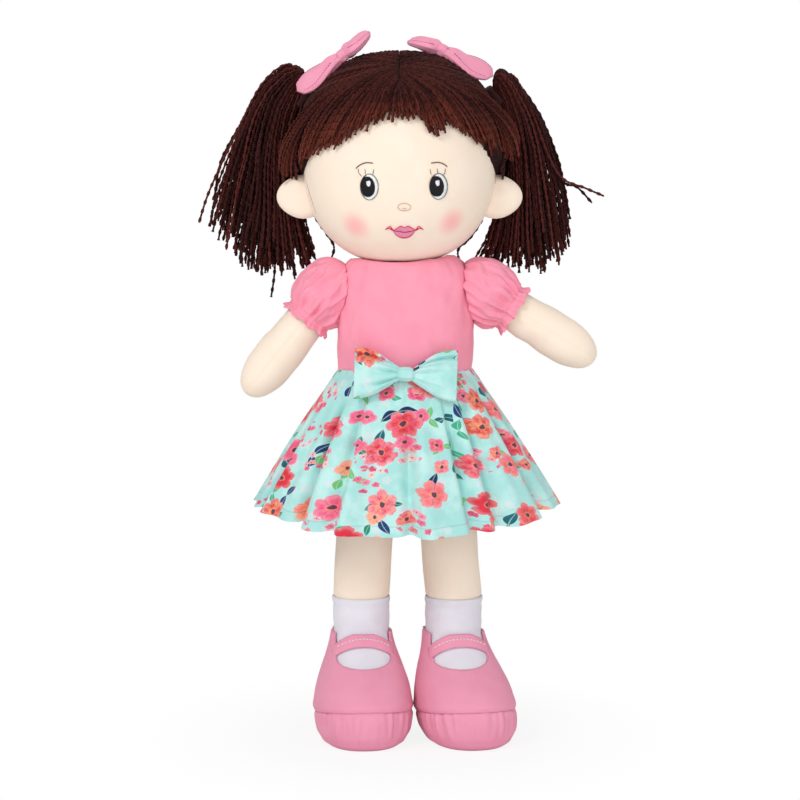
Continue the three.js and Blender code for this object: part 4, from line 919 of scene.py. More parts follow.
def make_bodice():
    rows, fold_rows = 34, 7
    start = body_share(WAIST - 1.5)

    def place(u, v):
        row, angle = round(v * (rows + fold_rows)), math.pi / 2 + math.tau * u
        share = lerp(start, 1, min(row / rows, 1))
        point = body_ring(share, YOKE, angle)
        up = smoothstep(point.z, 262, 303)
        gathers = math.sin(17 * angle + 0.6) + 0.6 * math.sin(29 * angle + 2) + 0.5 * math.sin(11 * angle)
        x, y, z = point
        waves = 0.3 * up * gathers + 0.5 * noise.noise(Vector((x * 0.05, y * 0.05, z * 0.04)))
        for lean, wide in CREASES:
            crease = noise.noise(Vector((x * wide + z * wide * lean, y * wide, z * 0.018 + wide * 90)))
            waves += 0.45 - 1.5 * abs(crease)
        armhole = ridge(abs(point.x) - 38.5, 1.7) * smoothstep(point.z, 262, 282)
        waves -= 1.1 * armhole * (point.y < 0)
        outwards = Vector((point.x, point.y, 0)).normalized()
        if row > rows:
            share = (row - rows) / fold_rows
            radius = math.hypot(point.x, point.y)
            inner = lerp(radius, NECKLINE, share)
            point.x, point.y = point.x * inner / radius, point.y * inner / radius
        half_deep = HEAD_HALF.y if point.y < 0 else HEAD_HALF.x
        point.z = min(point.z, hollow_height(point.x - HEAD_CENTRE.x, point.y, COLLAR_ROOM, half_deep))
        if row > rows:
            point.z -= 0.6 * smoothstep(share, 0.9, 1)
        return point + outwards * waves

    bm = bent_grid(168, rows + fold_rows, place, (0.235, 0.095))
    bmesh.ops.recalc_face_normals(bm, faces=bm.faces)
    bodice = finish_piece("bodice_cotton", bm, "torso", PINK_COTTON)
    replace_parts(bodice, "bodice")
    return bodice


bodice = make_bodice()
print("bodice", size_of(bodice))

# %% Sleeves
SLEEVE_RADIUS, SLEEVE_CAP, SLEEVE_LENGTH, CUFF_RADIUS = 20.5, 18.5, 23, 15.0
RUFFLE_LENGTH, RUFFLE_FLARE = 4.4, 1.4
# The puff's radius as a share, from its head inside the shoulder to its cuff
PUFF = [
    (-1, 0.0), (-0.93, 0.36), (-0.8, 0.6), (-0.6, 0.78), (-0.35, 0.9), (0, 0.98), (0.25, 1), (0.5, 0.985),
    (0.72, 0.92), (0.88, 0.83), (1, 0.79),
]


def make_sleeve(side):
    frame_here, sign = arm_frame(side), SIDES[side]
    puff_rows, frill_rows = 34, 10

    def place(u, v):
        row, angle = round(v * (puff_rows + frill_rows)), math.tau * u + math.pi
        x, y = math.cos(angle), math.sin(angle)
        gathers = math.sin(13 * angle + 1) + 0.7 * math.sin(23 * angle + sign) + 0.5 * math.sin(31 * angle)
        if row <= puff_rows:
            share = lerp(-1, 1, row / puff_rows)
            length = share * (SLEEVE_CAP if share < 0 else SLEEVE_LENGTH - 2)
            radius = SLEEVE_RADIUS * read_smooth(PUFF, share)[0]
            depth = 1.35 * smoothstep(share, 0.1, 0.9) * (1 - 0.45 * smoothstep(share, 0.85, 1))
            depth += 0.6 * smoothstep(-share, 0.2, 0.8)
            radius += gathers * depth * (radius > 8) - depth * 0.5
            folds = noise.noise(Vector((x * 2.2, y * 2.2 + sign * 9, share * 1.1)))
            folds += 0.6 * noise.noise(Vector((x * 4.5, y * 4.5 + sign * 5, share * 1.5 + 7)))
            radius += (1.2 - 5 * abs(folds)) * (1 - abs(share) ** 3)
        else:
            share = (row - puff_rows) / frill_rows
            length = lerp(SLEEVE_LENGTH - 2, SLEEVE_LENGTH + RUFFLE_LENGTH, share)
            held = ridge(length - SLEEVE_LENGTH, 1.8)
            frill = smoothstep(length, SLEEVE_LENGTH + 0.5, SLEEVE_LENGTH + RUFFLE_LENGTH)
            radius = CUFF_RADIUS + 0.4 - 0.6 * held + RUFFLE_FLARE * frill
            radius += gathers * lerp(0.35, 0.75, frill)
            length += 0.9 * frill * math.sin(9 * angle + sign)
        return clear_of_body(frame_here @ Vector((radius * x, radius * y, length)), sign)

    bm = bent_grid(200, puff_rows + frill_rows, place, (0.18, 0.06))
    bmesh.ops.recalc_face_normals(bm, faces=bm.faces)
    sleeve = finish_piece(f"sleeve_{side}_puff", bm, None, PINK_COTTON)
    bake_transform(sleeve)
    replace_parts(sleeve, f"sleeve_{side}")
    return sleeve


def clear_of_body(point, sign):
    """Moves a point of a sleeve outwards to the bodice's side, where its inner half would lie in the body."""
    share = body_share(point.z)
    if not 0 < share < 1:
        return point
    width, depth = read_shares(BODY_SHARES, share)
    half_x, half_y = BODY_HALF[0] * width + YOKE + 0.4, BODY_HALF[1] * depth + YOKE + 0.4
    inside = 1 - min(abs(point.y) / half_y, 1) ** FULLNESS
    side_x = half_x * inside ** (1 / FULLNESS) if inside > 0 else 0
    if sign * point.x < side_x:
        point.x = sign * side_x
    return point


for side in SIDES:
    print("sleeve", side, size_of(make_sleeve(side)))

# %% [markdown]
# ## The printed cotton
# The skirt's cotton has a floral print of its own: round flowers with petals and dark hearts, small
# blossoms, leaves and sprigs on a mint ground. An image would be simple, but a procedural print is sharp
# at any distance. Cells scatter the motifs, and in each cell the place round the cell's middle gives a
# flower its petals. The cloth's own UV map carries it, so it bends with the folds.

# %% Print
def scatter(group, start, randomness):
    """Cells that scatter a motif: their colours, the way from each cell's middle, and their own numbers."""
    inputs = {"Vector": start.outputs[0], "Scale": start.outputs[1], "Randomness": randomness}
    cells = add_node(group, "TexVoronoi", inputs, voronoi_dimensions="2D")
    scaled = vector_node(group, "SCALE", {0: start.outputs[0], 3: start.outputs[1]})
    middle = vector_node(group, "SCALE", {0: cells.outputs["Position"], 3: start.outputs[1]})
    away = vector_node(group, "SUBTRACT", {0: scaled, 1: middle})
    own = add_node(group, "SeparateColor", {0: cells.outputs["Color"]}).outputs
    return cells.outputs["Color"], away, own


def turned_parts(group, away, turn):
    """A place turned round its cell's middle, whole and taken apart."""
    inputs = {"Vector": away, "Angle": turn}
    turned = add_node(group, "VectorRotate", inputs, rotation_type="Z_AXIS").outputs[0]
    return turned, add_node(group, "SeparateXYZ", {0: turned}).outputs


def make_flower():
    """One layer of scattered flowers: a mask, how far out a place is, and numbers of its own for each."""
    group, start, end = new_group(
        "scattered flower",
        [("Vector", "Vector", None), ("Cells per metre", "Float", 40.0), ("Size", "Float", 0.4),
         ("Petals", "Float", 5.0), ("Share kept", "Float", 0.6), ("Squash", "Float", 1.0)],
        [("Mask", "Float"), ("Reach", "Float"), ("Own", "Color"), ("Vein", "Float"), ("Heart", "Float"),
         ("Brush", "Float")])
    size, petals, share, squash = (start.outputs[k] for k in (2, 3, 4, 5))
    colour, away, own = scatter(group, start, 0.75)
    turned, parts = turned_parts(group, away, times(group, own[0], 6.283))
    tall = times(group, parts[1], squash)
    squares = [math_node(group, "POWER", part, 2.0) for part in (parts[0], tall)]
    radius = math_node(group, "SQRT", math_node(group, "ADD", *squares))
    angle = math_node(group, "ARCTAN2", tall, parts[0])
    ragged = add_node(group, "TexNoise", {"Vector": turned, "Scale": 7.0, "Detail": 2.0})
    wave = math_node(group, "COSINE", times(group, angle, times(group, petals, 0.5)))
    petal = math_node(group, "ABSOLUTE", wave)
    outline = math_node(group, "MULTIPLY_ADD", math_node(group, "POWER", petal, 0.45), 0.36, 0.62)
    rough = math_node(group, "MULTIPLY_ADD", ragged.outputs["Fac"], 0.34, -0.17)
    edge = times(group, math_node(group, "ADD", outline, rough), size)
    reach = math_node(group, "DIVIDE", radius, math_node(group, "MAXIMUM", edge, 0.001))
    mask = ramp(group, reach, 0.97, 1.03, 1.0, 0.0)
    mask = times(group, mask, math_node(group, "LESS_THAN", own[1], share))
    heart = math_node(group, "ADD", math_node(group, "DIVIDE", radius, size), rough)
    strokes = add_node(group, "TexNoise", {"Vector": turned, "Scale": 5.0, "Detail": 4.0, "Roughness": 0.7})
    brush = ramp(group, strokes.outputs["Fac"], 0.4, 0.6)
    wire_out(group, end, [mask, reach, colour, petal, heart, brush])
    return group


def make_leaf():
    """Scattered pairs of pointed leaves on a bent stem."""
    group, start, end = new_group(
        "scattered leaf",
        [("Vector", "Vector", None), ("Cells per metre", "Float", 50.0), ("Share kept", "Float", 0.6)],
        [("Mask", "Float"), ("Own", "Color"), ("Vein", "Float")])
    half_length, width = 0.42, 0.12
    colour, away, own = scatter(group, start, 0.8)
    _, parts = turned_parts(group, away, math_node(group, "MULTIPLY_ADD", own[0], 3.0, 0.4))
    bend = times(group, math_node(group, "POWER", parts[0], 2.0), 0.9)
    across = math_node(group, "ABSOLUTE", math_node(group, "SUBTRACT", parts[1], bend))
    step = math_node(group, "PINGPONG", math_node(group, "ADD", parts[0], half_length), half_length / 2)
    share = math_node(group, "DIVIDE", step, half_length / 2)
    outline = times(group, times(group, share, math_node(group, "SUBTRACT", 2.0, share)), width)
    inside = ramp(group, math_node(group, "SUBTRACT", across, outline), -0.012, 0.0, 1.0, 0.0)
    length = math_node(group, "LESS_THAN", math_node(group, "ABSOLUTE", parts[0]), half_length)
    stem = ramp(group, across, 0.012, 0.02, 1.0, 0.0)
    shape = times(group, math_node(group, "MAXIMUM", inside, stem), length)
    mask = times(group, shape, math_node(group, "LESS_THAN", own[1], start.outputs[2]))
    wire_out(group, end, [mask, colour, ramp(group, across, 0.006, 0.014, 1.0, 0.0)])
    return group


FLOWER, LEAF = make_flower(), make_leaf()


def choose_colour(tree, value, colours):
    """Picks one of some colours by a number from 0 to 1."""
    steps = add_node(tree, "ValToRGB", {0: value})
    steps.color_ramp.interpolation = "CONSTANT"
    stops = steps.color_ramp.elements
    for i, colour in enumerate(colours):
        stop = stops[i] if i < 2 else stops.new(i / len(colours))
        stop.position, stop.color = i / len(colours), colour
    return steps.outputs[0]


# The leaves' layers: where their cells start, how many stand to a metre, the share kept and their inks
LEAF_LAYERS = [
    ((0.11, 0.43), 56.0, 0.5,
     [srgb(30, 140, 112), srgb(70, 176, 140), srgb(24, 116, 108), srgb(120, 196, 120)]),
    ((0.57, 0.21), 40.0, 0.42,
     [srgb(34, 56, 118), srgb(26, 44, 96), srgb(48, 84, 146), srgb(30, 100, 116)]),
]
# The flowers' layers: the same with size and petals before the share, then how pale the tips are and how
# far out the heart goes
FLOWER_LAYERS = [
    ((0.83, 0.05), 190.0, 0.47, 5.0, 0.9,
     [srgb(232, 90, 140), srgb(252, 214, 222), srgb(244, 150, 180)], 0.5, 0.16),
    ((0.31, 0.9), 58.0, 0.33, 4.0, 0.34,
     [srgb(244, 98, 150), srgb(250, 160, 140), srgb(236, 70, 110)], 0.6, 0.2),
    ((0.05, 0.61), 37.0, 0.37, 6.0, 0.66,
     [srgb(224, 36, 62), srgb(240, 90, 136), srgb(244, 110, 104), srgb(228, 52, 66)], 0.55, 0.17),
]
BRUSH_INKS = [srgb(252, 150, 170), srgb(253, 190, 140), srgb(214, 36, 74), srgb(250, 120, 150)]
# A flower's heart, as two rings: from and to where each fades, how strong it is, and its ink
HEART_RINGS = [(1.2, 1.9, 0.55, srgb(250, 176, 110)), (0.9, 1.2, 0.9, srgb(60, 40, 92))]
# The middle on the cloth of the ring that the skirt is cut from, and how far out the hem is sewn, in metres
CUT_MIDDLE, HEM_STITCHES = 0.4, 0.1826


def printed_cotton():
    material, tree, shader = new_material("printed cotton", 0.85, 0.15)
    cloth = add_node(tree, "UVMap", uv_map="cloth").outputs[0]
    nap = place_group(tree, NAP, {0: object_place(tree), 1: 1500.0})
    mint, pale = srgb(170, 226, 222), srgb(196, 238, 234)
    colour = mix_colour(tree, ramp(tree, nap.outputs[1], 0.4, 0.62), mint, pale)

    def motif(group, shift, *values):
        place = vector_node(tree, "ADD", {0: cloth, 1: (*shift, 0)})
        return place_group(tree, group, {0: place, **dict(enumerate(values, 1))})

    def own_part(flower, part):
        return add_node(tree, "SeparateColor", {0: flower.outputs["Own"]}).outputs[part]

    mist = motif(FLOWER, (0.3, 0.7), 95.0, 0.3, 5.0, 0.3, 1.0)
    colour = mix_colour(tree, times(tree, mist.outputs[0], 0.4), colour, srgb(238, 226, 236))
    for shift, scale, kept, inks in LEAF_LAYERS:
        leaf = motif(LEAF, shift, scale, kept)
        ink = choose_colour(tree, own_part(leaf, 2), inks)
        ink = mix_colour(tree, times(tree, leaf.outputs["Vein"], 0.55), ink, srgb(190, 236, 214))
        colour = mix_colour(tree, leaf.outputs[0], colour, ink)
    bunches = motif(FLOWER, (0.7, 0.33), 42.0, 0.4, 3.0, 0.4, 0.8).outputs[0]
    for shift, scale, size, petals, kept, inks, tip, wide in FLOWER_LAYERS:
        bloom = motif(FLOWER, shift, scale, size, petals, kept, 1.12)
        ink = choose_colour(tree, own_part(bloom, 2), inks)
        second = choose_colour(tree, own_part(bloom, 0), BRUSH_INKS)
        ink = mix_colour(tree, times(tree, bloom.outputs["Brush"], 0.62), ink, second)
        edge = mix_colour(tree, 0.5, ink, srgb(255, 214, 214))
        ink = mix_colour(tree, times(tree, ramp(tree, bloom.outputs["Reach"], 0.6, 1.0), tip), ink, edge)
        cleft = ramp(tree, bloom.outputs["Vein"], 0.06, 0.3, 0.4, 0.0)
        ink = mix_colour(tree, cleft, ink, srgb(186, 30, 70))
        for low, high, strength, heart in HEART_RINGS:
            share = ramp(tree, bloom.outputs["Heart"], wide * low, wide * high, strength, 0.0)
            ink = mix_colour(tree, share, ink, heart)
        # The smallest flowers stand in bunches
        mask = times(tree, bloom.outputs[0], bunches) if scale > 100 else bloom.outputs[0]
        colour = mix_colour(tree, mask, colour, ink)
    from_cut = vector_node(tree, "DISTANCE", {0: cloth, 1: (CUT_MIDDLE, CUT_MIDDLE, 0)}, "Value")
    from_line = math_node(tree, "ABSOLUTE", math_node(tree, "SUBTRACT", from_cut, HEM_STITCHES))
    hem_line = ramp(tree, from_line, 0.0003, 0.0007, 1.0, 0.0)
    colour = mix_colour(tree, times(tree, hem_line, 0.16), colour, srgb(70, 120, 124))
    threads = place_group(tree, WEAVE, {0: cloth, 1: 3200.0}).outputs[0]
    height = math_node(tree, "MULTIPLY_ADD", nap.outputs[0], 0.4, threads)
    add_bump(tree, shader, 0.2, 0.0003, height)
    # The weave's hollows are painted darker towards a grey teal: painted shade between the threads
    painted_weave_shade = mix_colour(tree, math_node(tree, "MULTIPLY_ADD", threads, -0.08, 0.08), colour, srgb(90, 120, 120))
    tree.links.new(painted_weave_shade, shader.inputs["Base Color"])
    return material


PRINT = printed_cotton()
print("print", len(PRINT.node_tree.nodes), "nodes")

# %% [markdown]
# ## The skirt
# The skirt is cut as a part of a flat ring and gathered at the waist, so it flares and falls in folds, with
# an inverted pleat at the middle of the front. A cloth simulation would hang it straight down, because it
# doesn't know the stiff hem, so the folds are laid from the solid's own waves, with finer ones
# between. It is made as two halves.

# %% Skirt
HEM, HEM_SIDE_RISE, HEM_HALF, FOLD_DEPTH = 138, 13, (97, 73), 4.4
PLEAT_DEPTH, PLEAT_HALF_ANGLE = 9, math.radians(9)
# Soft folds: how many there are round the skirt, how strong they are, and their shift in turns
FOLDS = [(9, 0.6, 0.03), (14, 0.32, 0.4), (5, 0.25, 0.7)]
FINE_FOLDS = [(23, 0.13, 0.15), (37, 0.06, 0.55)]
# Sharp folds: how far round from the front, how wide in radians, how deep in mm
SHARP_FOLDS = [
    (-1.2, 0.05, 9), (-0.78, 0.05, 11), (-0.47, 0.045, 8), (0.02, 0.035, 8), (0.44, 0.045, 10),
    (0.68, 0.05, 8), (1.1, 0.05, 10), (1.75, 0.06, 9), (2.3, 0.06, 10), (2.9, 0.06, 9), (-1.8, 0.06, 9),
    (-2.4, 0.06, 10), (-2.95, 0.05, 8),
]
CUT_INNER, CUT_LENGTH, CUT_ANGLE = 0.0776, 0.112, math.radians(177)


def wave_sum(folds, angle):
    return sum(strength * math.cos(waves * angle + shift * math.tau) for waves, strength, shift in folds)


def skirt_point(share, angle):
    """The skirt's surface at a share of its length, and an angle on its ring."""
    width, depth = read_shares(BODY_SHARES, body_share(WAIST))
    flare = min(max(share, 0), 1) ** 0.94
    half_width = lerp(BODY_HALF[0] * width + YOKE, HEM_HALF[0], flare)
    half_depth = lerp(BODY_HALF[1] * depth + YOKE, HEM_HALF[1], flare)
    fullness = smoothstep(share, -0.2, 1) * min(max(share * 3, 0), 1)
    fold = wave_sum(FOLDS, angle) + wave_sum(FINE_FOLDS, angle)
    from_front = abs(angle + math.pi / 2) / PLEAT_HALF_ANGLE
    pleat = PLEAT_DEPTH * smoothstep(1 - from_front, 0, 1)
    sharp = 0.0
    for place, wide, deep in SHARP_FOLDS:
        wander = 0.05 * share * math.sin(place * 7)
        away = math.remainder(angle + math.pi / 2 - place - wander, math.tau) / wide
        sharp += deep * (ridge(away, 1) - 0.26 * ridge(away - 2.4, 1.8))
    sharp *= smoothstep(share, 0.03, 0.5)
    gathers = 0.5 * ridge(share, 0.09) * math.sin(61 * angle)
    out = (FOLD_DEPTH * fold - pleat * 0.6) * fullness - sharp + gathers
    rise = share * (HEM_SIDE_RISE * math.cos(angle) ** 2 + 0.12 * sharp)
    point = ring_point(angle, half_width + out, half_depth + out, FULLNESS)
    return point + Vector((0, 0, lerp(WAIST - 0.3, HEM, share) + rise))


def make_skirt_half(side):
    sign, columns, rows = SIDES[side], 230, 44

    def place(u, v):
        return skirt_point(v, -math.pi / 2 + sign * math.pi * u)

    def cut(at):
        turn, length = at.x * sign * CUT_ANGLE / 2, CUT_INNER + at.y * CUT_LENGTH
        return CUT_MIDDLE + length * math.sin(turn), CUT_MIDDLE - length * math.cos(turn)

    bm = bent_grid(columns, rows, place, (1, 1), weld=False)
    change_cloth(bm, cut)
    face_outwards(bm, lambda bm: sum(face.calc_center_median().dot(face.normal) for face in bm.faces))
    skirt = finish_piece(f"skirt_{side}", bm, None, PRINT)
    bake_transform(skirt)
    return skirt


for side in SIDES:
    skirt_half = make_skirt_half(side)
    print("skirt", side, size_of(skirt_half))
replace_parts(bpy.data.objects["skirt_right"], "skirt")

# %% [markdown]
# ## Feet, socks and strap shoes
# A sock is the foot's own skin in white knit. The shoe is sewn from a sole part that is gathered round the
# toe, an upper with a wide opening, and a strap over the instep. All of them come from one foot outline
# that narrows upwards. The opening is cut where the shoe's surface lies inside an oval square to the
# instep, and the strap is laid on the same surface, so the parts fit without any trial.

# %% Foot outline
SHOE_HEIGHT, SHOE_HALF_WIDTH, SHOE_TOE, SHOE_HEEL, SHOE_FULLNESS = 68, 31.8, 58, 25, 2.3
TOE_SEAM, HEEL_SEAM, STRAP_FRONT, STRAP_HEIGHT, INSTEP = 26, 12, 19, 61, math.radians(42)
OPENING_HALF_WIDTH, OPENING_LENGTH, STRAP_WIDTH = 18, 30, 8.5
FOOT_TURN, FOOT_LEAN = {"right": 5, "left": 11}, {"right": 0, "left": 6}
# The foot's half width, toe and heel as shares, over its height
FOOT = [
    (0, 0.76, 0.84, 0.82), (0.03, 0.85, 0.91, 0.9), (0.13, 0.955, 0.98, 0.98), (0.28, 1, 1, 1),
    (0.42, 0.98, 0.965, 1), (0.54, 0.925, 0.87, 0.97), (0.66, 0.84, 0.71, 0.93), (0.78, 0.745, 0.54, 0.885),
    (0.89, 0.67, 0.41, 0.845), (1, 0.625, 0.335, 0.82),
]


def foot_size(share, inset):
    """The foot's half width and how far it reaches to the front and to the back, at a share of its height."""
    width, toe, heel = read_smooth(FOOT, min(max(share, 0), 1))
    return SHOE_HALF_WIDTH * width - inset, SHOE_TOE * toe - inset, SHOE_HEEL * heel - inset


def foot_point(side, height, angle, inset=0.0):
    share = height / SHOE_HEIGHT
    half, front, back = foot_size(share, inset)
    point = ring_point(angle, half, (back + front) / 2, SHOE_FULLNESS)
    return point + Vector((FOOT_LEAN[side] * (1 - share), (back - front) / 2, height))


def seam_height(y):
    return TOE_SEAM + (HEEL_SEAM - TOE_SEAM) / (SHOE_HEEL + SHOE_TOE) * (y + SHOE_TOE)


def on_instep(point):
    """The same place seen square to the instep: across, up the slope, and out of it."""
    y, z = point.y + STRAP_FRONT, point.z - STRAP_HEIGHT
    level, steep = math.cos(INSTEP), math.sin(INSTEP)
    return Vector((point.x, y * level + z * steep, -y * steep + z * level))


def off_instep(point):
    y = point.y * math.cos(INSTEP) - point.z * math.sin(INSTEP)
    z = point.y * math.sin(INSTEP) + point.z * math.cos(INSTEP)
    return Vector((point.x, y - STRAP_FRONT, z + STRAP_HEIGHT))


def foot_matrix(side):
    turn = Matrix.Rotation(math.radians(FOOT_TURN[side]), 4, "Z")
    return Matrix.Translation(Vector((SIDES[side] * ANKLE[side], 0, 0))) @ turn


def outside_foot(side, point):
    """Above zero where a point is outside the foot's outline at its height."""
    share = min(max(point.z / SHOE_HEIGHT, 0), 1)
    half, front, back = foot_size(share, 0.0)
    x = (point.x - FOOT_LEAN[side] * (1 - share)) / half
    y = (point.y - (back - front) / 2) / ((back + front) / 2)
    return abs(x) ** SHOE_FULLNESS + abs(y) ** SHOE_FULLNESS - 1


def first_normal(bm, axis):
    """How much the face that lies furthest along an axis, on its minus side, looks that way."""
    return -min(bm.faces, key=lambda face: face.calc_center_median()[axis]).normal[axis]


# %% Socks
def make_sock(side):
    matrix, rows, inset = foot_matrix(side), 64, 2.3

    def place(u, v):
        row, angle = round(v * rows), math.tau * u + math.pi / 2
        height = lerp(inset, SOCK_TOP, max(row - 1, 0) / (rows - 3))
        if row == 0:
            return foot_point(side, inset, angle, inset) * 0.02 + Vector((0, 0, inset))
        if row >= rows - 1:
            out, up = (-1.2, -1.2) if row == rows else (0.1, 0.3)
            return ring_point(angle, LEG_RADIUS + out, LEG_RADIUS + out) + Vector((0, 0, SOCK_TOP + up))
        above = smoothstep(height, SHOE_HEIGHT - 4, SHOE_HEIGHT + 12)
        point = foot_point(side, min(height, SHOE_HEIGHT), angle, inset)
        radius = LEG_RADIUS + 0.25
        point.x = lerp(point.x, radius * math.cos(angle), above)
        point.y = lerp(point.y, radius * math.sin(angle), above)
        point.z = height
        cuff = 0.5 * ridge(height - SOCK_TOP + 2, 1.6) - 0.35 * ridge(height - SOCK_TOP + 5, 0.8)
        wrinkle = 0.55 * noise.noise(Vector((angle, height * 0.16, SIDES[side]))) * smoothstep(height, 55, 70)
        flat = Vector((point.x, point.y, 0))
        return point + flat.normalized() * (cuff + wrinkle)

    bm = face_outwards(bent_grid(72, rows, lambda u, v: matrix @ place(u, v), (0.13, 0.13)))
    sock = finish_piece(f"sock_{side}_knit", bm, f"leg_{side}", WHITE_KNIT)
    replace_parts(sock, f"sock_{side}")
    return sock


for side in SIDES:
    print("sock", side, size_of(make_sock(side)))

# %% Shoe uppers
OPENING_MIDDLE = -(OPENING_LENGTH - STRAP_WIDTH) / 4


def opening_reach(point):
    """How far out of the opening's middle a point lies, where 1 is the opening's edge."""
    flat = on_instep(point)
    across, up = flat.x / OPENING_HALF_WIDTH, (flat.y - OPENING_MIDDLE) / (OPENING_LENGTH / 2)
    if flat.z < -16:
        return 9
    return abs(across) if up > 0 else math.hypot(across, up)


def make_upper(side):
    matrix, columns, rows = foot_matrix(side), 120, 46

    def place(u, v):
        angle = math.tau * u + math.pi / 2
        seam = seam_height(foot_point(side, 18, angle).y)
        height = lerp(seam - 0.2, SHOE_HEIGHT, v)
        point = foot_point(side, height, angle)
        outwards = Vector((point.x, point.y + 12, 0)).normalized()
        tucked = 0.9 * ridge(height - seam, 1.6) - 0.5 * ridge(height - seam - 4, 3)
        soft = 0.55 * noise.noise(point * 0.06 + Vector((0, 0, SIDES[side] * 4)))
        return point - outwards * (tucked + soft + 0.2)

    bm = bent_grid(columns, rows, place, (0.17, 0.07))
    for _ in range(2):
        gone = [face for face in bm.faces if opening_reach(face.calc_center_median() / MM) < 1]
        bmesh.ops.delete(bm, geom=gone, context="FACES")
    for vert in bm.verts:
        reach = opening_reach(vert.co / MM)
        if vert.is_boundary and 0.5 < reach < 1.5:
            flat = on_instep(vert.co / MM)
            if flat.y > OPENING_MIDDLE:
                flat.x /= reach
            else:
                flat.x, flat.y = flat.x / reach, OPENING_MIDDLE + (flat.y - OPENING_MIDDLE) / reach
            vert.co = off_instep(flat) * MM
    face_outwards(bm, lambda bm: first_normal(bm, 1))
    at_ankle = Matrix.Translation(matrix.translation * MM) @ matrix.to_3x3().to_4x4()
    bmesh.ops.transform(bm, matrix=at_ankle, verts=bm.verts)
    upper = finish_piece(f"shoe_upper_{side}_felt", bm, f"leg_{side}", PINK_FELT)
    add_wall(upper, 1.3)
    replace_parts(upper, f"shoe_upper_{side}")
    return upper


for side in SIDES:
    print("upper", side, size_of(make_upper(side)))

# %% Soles, gathered round the toe
def make_sole(side):
    matrix, columns, rows = foot_matrix(side), 180, 22

    def place(u, v):
        row, angle = round(v * rows), math.tau * u + math.pi / 2
        seam = seam_height(foot_point(side, 18, angle).y)
        share = max(row - 2, 0) / (rows - 3)
        height = seam * min(share, 1)
        point = foot_point(side, height, angle)
        middle = Vector((FOOT_LEAN[side], -15, 0))
        if row < 2:
            return middle + (Vector((point.x, point.y, 0)) - middle) * (0.0 if row == 0 else 0.6)
        if row == rows:
            return point + (middle - point).normalized() * 3 + Vector((0, 0, 0.4))
        toe = smoothstep(-point.y, 5, 45)
        wave = noise.noise(Vector((angle * 9, share * 0.8, SIDES[side] * 3)))
        wave += 0.5 * noise.noise(Vector((angle * 21, share, 1)))
        toe *= lerp(0.45, 1.15, smoothstep(point.x * math.cos(angle), -4, 12))
        gathers = toe * 2.1 * wave * smoothstep(share, 0.05, 0.7) * (1 - 0.25 * smoothstep(share, 0.9, 1))
        tucked = 0.8 * ridge(height - seam, 1.5)
        outwards = Vector((point.x - middle.x, point.y - middle.y, 0)).normalized()
        return point + outwards * (gathers - tucked - 0.2 - 0.25 * toe)

    bm = bent_grid(columns, rows, lambda u, v: matrix @ place(u, v), (0.24, 0.04))
    face_outwards(bm, lambda bm: first_normal(bm, 2))
    sole = finish_piece(f"shoe_sole_{side}_felt", bm, f"leg_{side}", PINK_FELT)
    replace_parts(sole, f"shoe_sole_{side}")
    return sole


for side in SIDES:
    print("sole", side, size_of(make_sole(side)))

# %% Straps and their topstitching
def strap_point(side, across, up, stand=0.0):
    """A place on the shoe's surface over the instep, found by going in from outside."""
    low, high = -20.0, 16.0
    for _ in range(24):
        middle = (low + high) / 2
        at = off_instep(Vector((across, up, middle)))
        low, high = (low, middle) if outside_foot(side, at) > 0 or at.z > SHOE_HEIGHT else (middle, high)
    return off_instep(Vector((across, up, high + stand)))


STITCH_THREAD = embroidery("white topstitch", srgb(255, 246, 250))


def make_strap(side):
    matrix = foot_matrix(side)
    half_length, half_width = OPENING_HALF_WIDTH + 1.6, STRAP_WIDTH / 2

    def place(u, v):
        across, up = lerp(-half_length, half_length, u), lerp(-half_width, half_width, v)
        arch = 1 - (across / half_length) ** 2
        edge = 1 - (2 * v - 1) ** 2
        stand = 0.4 * arch + 0.5 * edge - 0.5 * smoothstep(abs(across), half_length - 2.5, half_length)
        return matrix @ strap_point(side, across, up + 1.6 * arch - 0.8, stand)

    bm = bent_grid(44, 8, place, (0.045, 0.0085), weld=False)
    face_outwards(bm, lambda bm: -sum(face.normal.y for face in bm.faces))
    strap = finish_piece(f"shoe_strap_{side}_felt", bm, f"leg_{side}", PINK_FELT)
    add_wall(strap, 1.3)
    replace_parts(strap, f"shoe_strap_{side}")
    stitches = []
    for k in range(15):
        start = lerp(-half_length + 3, half_length - 4.6, k / 14)
        points = []
        for step in range(5):
            across = start + 1.7 * step / 4
            arch = 1 - (across / half_length) ** 2
            lift = 0.4 * arch + 0.62 + 0.12 * math.sin(math.pi * step / 4)
            points.append(matrix @ strap_point(side, across, 1.6 * arch - 0.4, lift))
        stitches.append({"points": points, "tone": 0.5, "sizes": [1, 1.6, 1.6, 1.6, 1]})
    make_strands(f"strap_stitches_{side}", stitches, THREAD, f"leg_{side}", STITCH_THREAD)
    return strap


for side in SIDES:
    print("strap", side, size_of(make_strap(side)))

# %% [markdown]
# ## Bows
# The hair bows are stuffed felt wings drawn in by a band, with a row of stitches just inside their rim.
# The waist bow is folded from the skirt's cotton: each loop is a flat tube whose top edge shows the fold's
# layers, and a knot holds both. They are lofted from the same rows as the solids, with creases that fan
# out from the knot, since gathered cloth always folds towards the place that holds it.

# %% Hair bows
BOW_HALF, BOW_BAND_WIDTH, INNER_WING = Vector((36, 11, 4)), 8, 0.64
# A wing's width and thickness as shares, from the band to the tip
WING = [
    (0, 0.5, 0.62), (0.08, 0.6, 0.84), (0.25, 0.94, 1.05), (0.5, 1.06, 1), (0.76, 0.9, 0.86),
    (0.93, 0.58, 0.55), (1, 0, 0),
]
BAND_TILT, WING_TILT = math.radians(14), math.radians(38)
# Each bow's slope and yaw in degrees, and how far its inner wing bends back and up, in mm
BOW_PLACES = {"right": (38, 0, 5, 1.5), "left": (27, 4, 9, -4)}


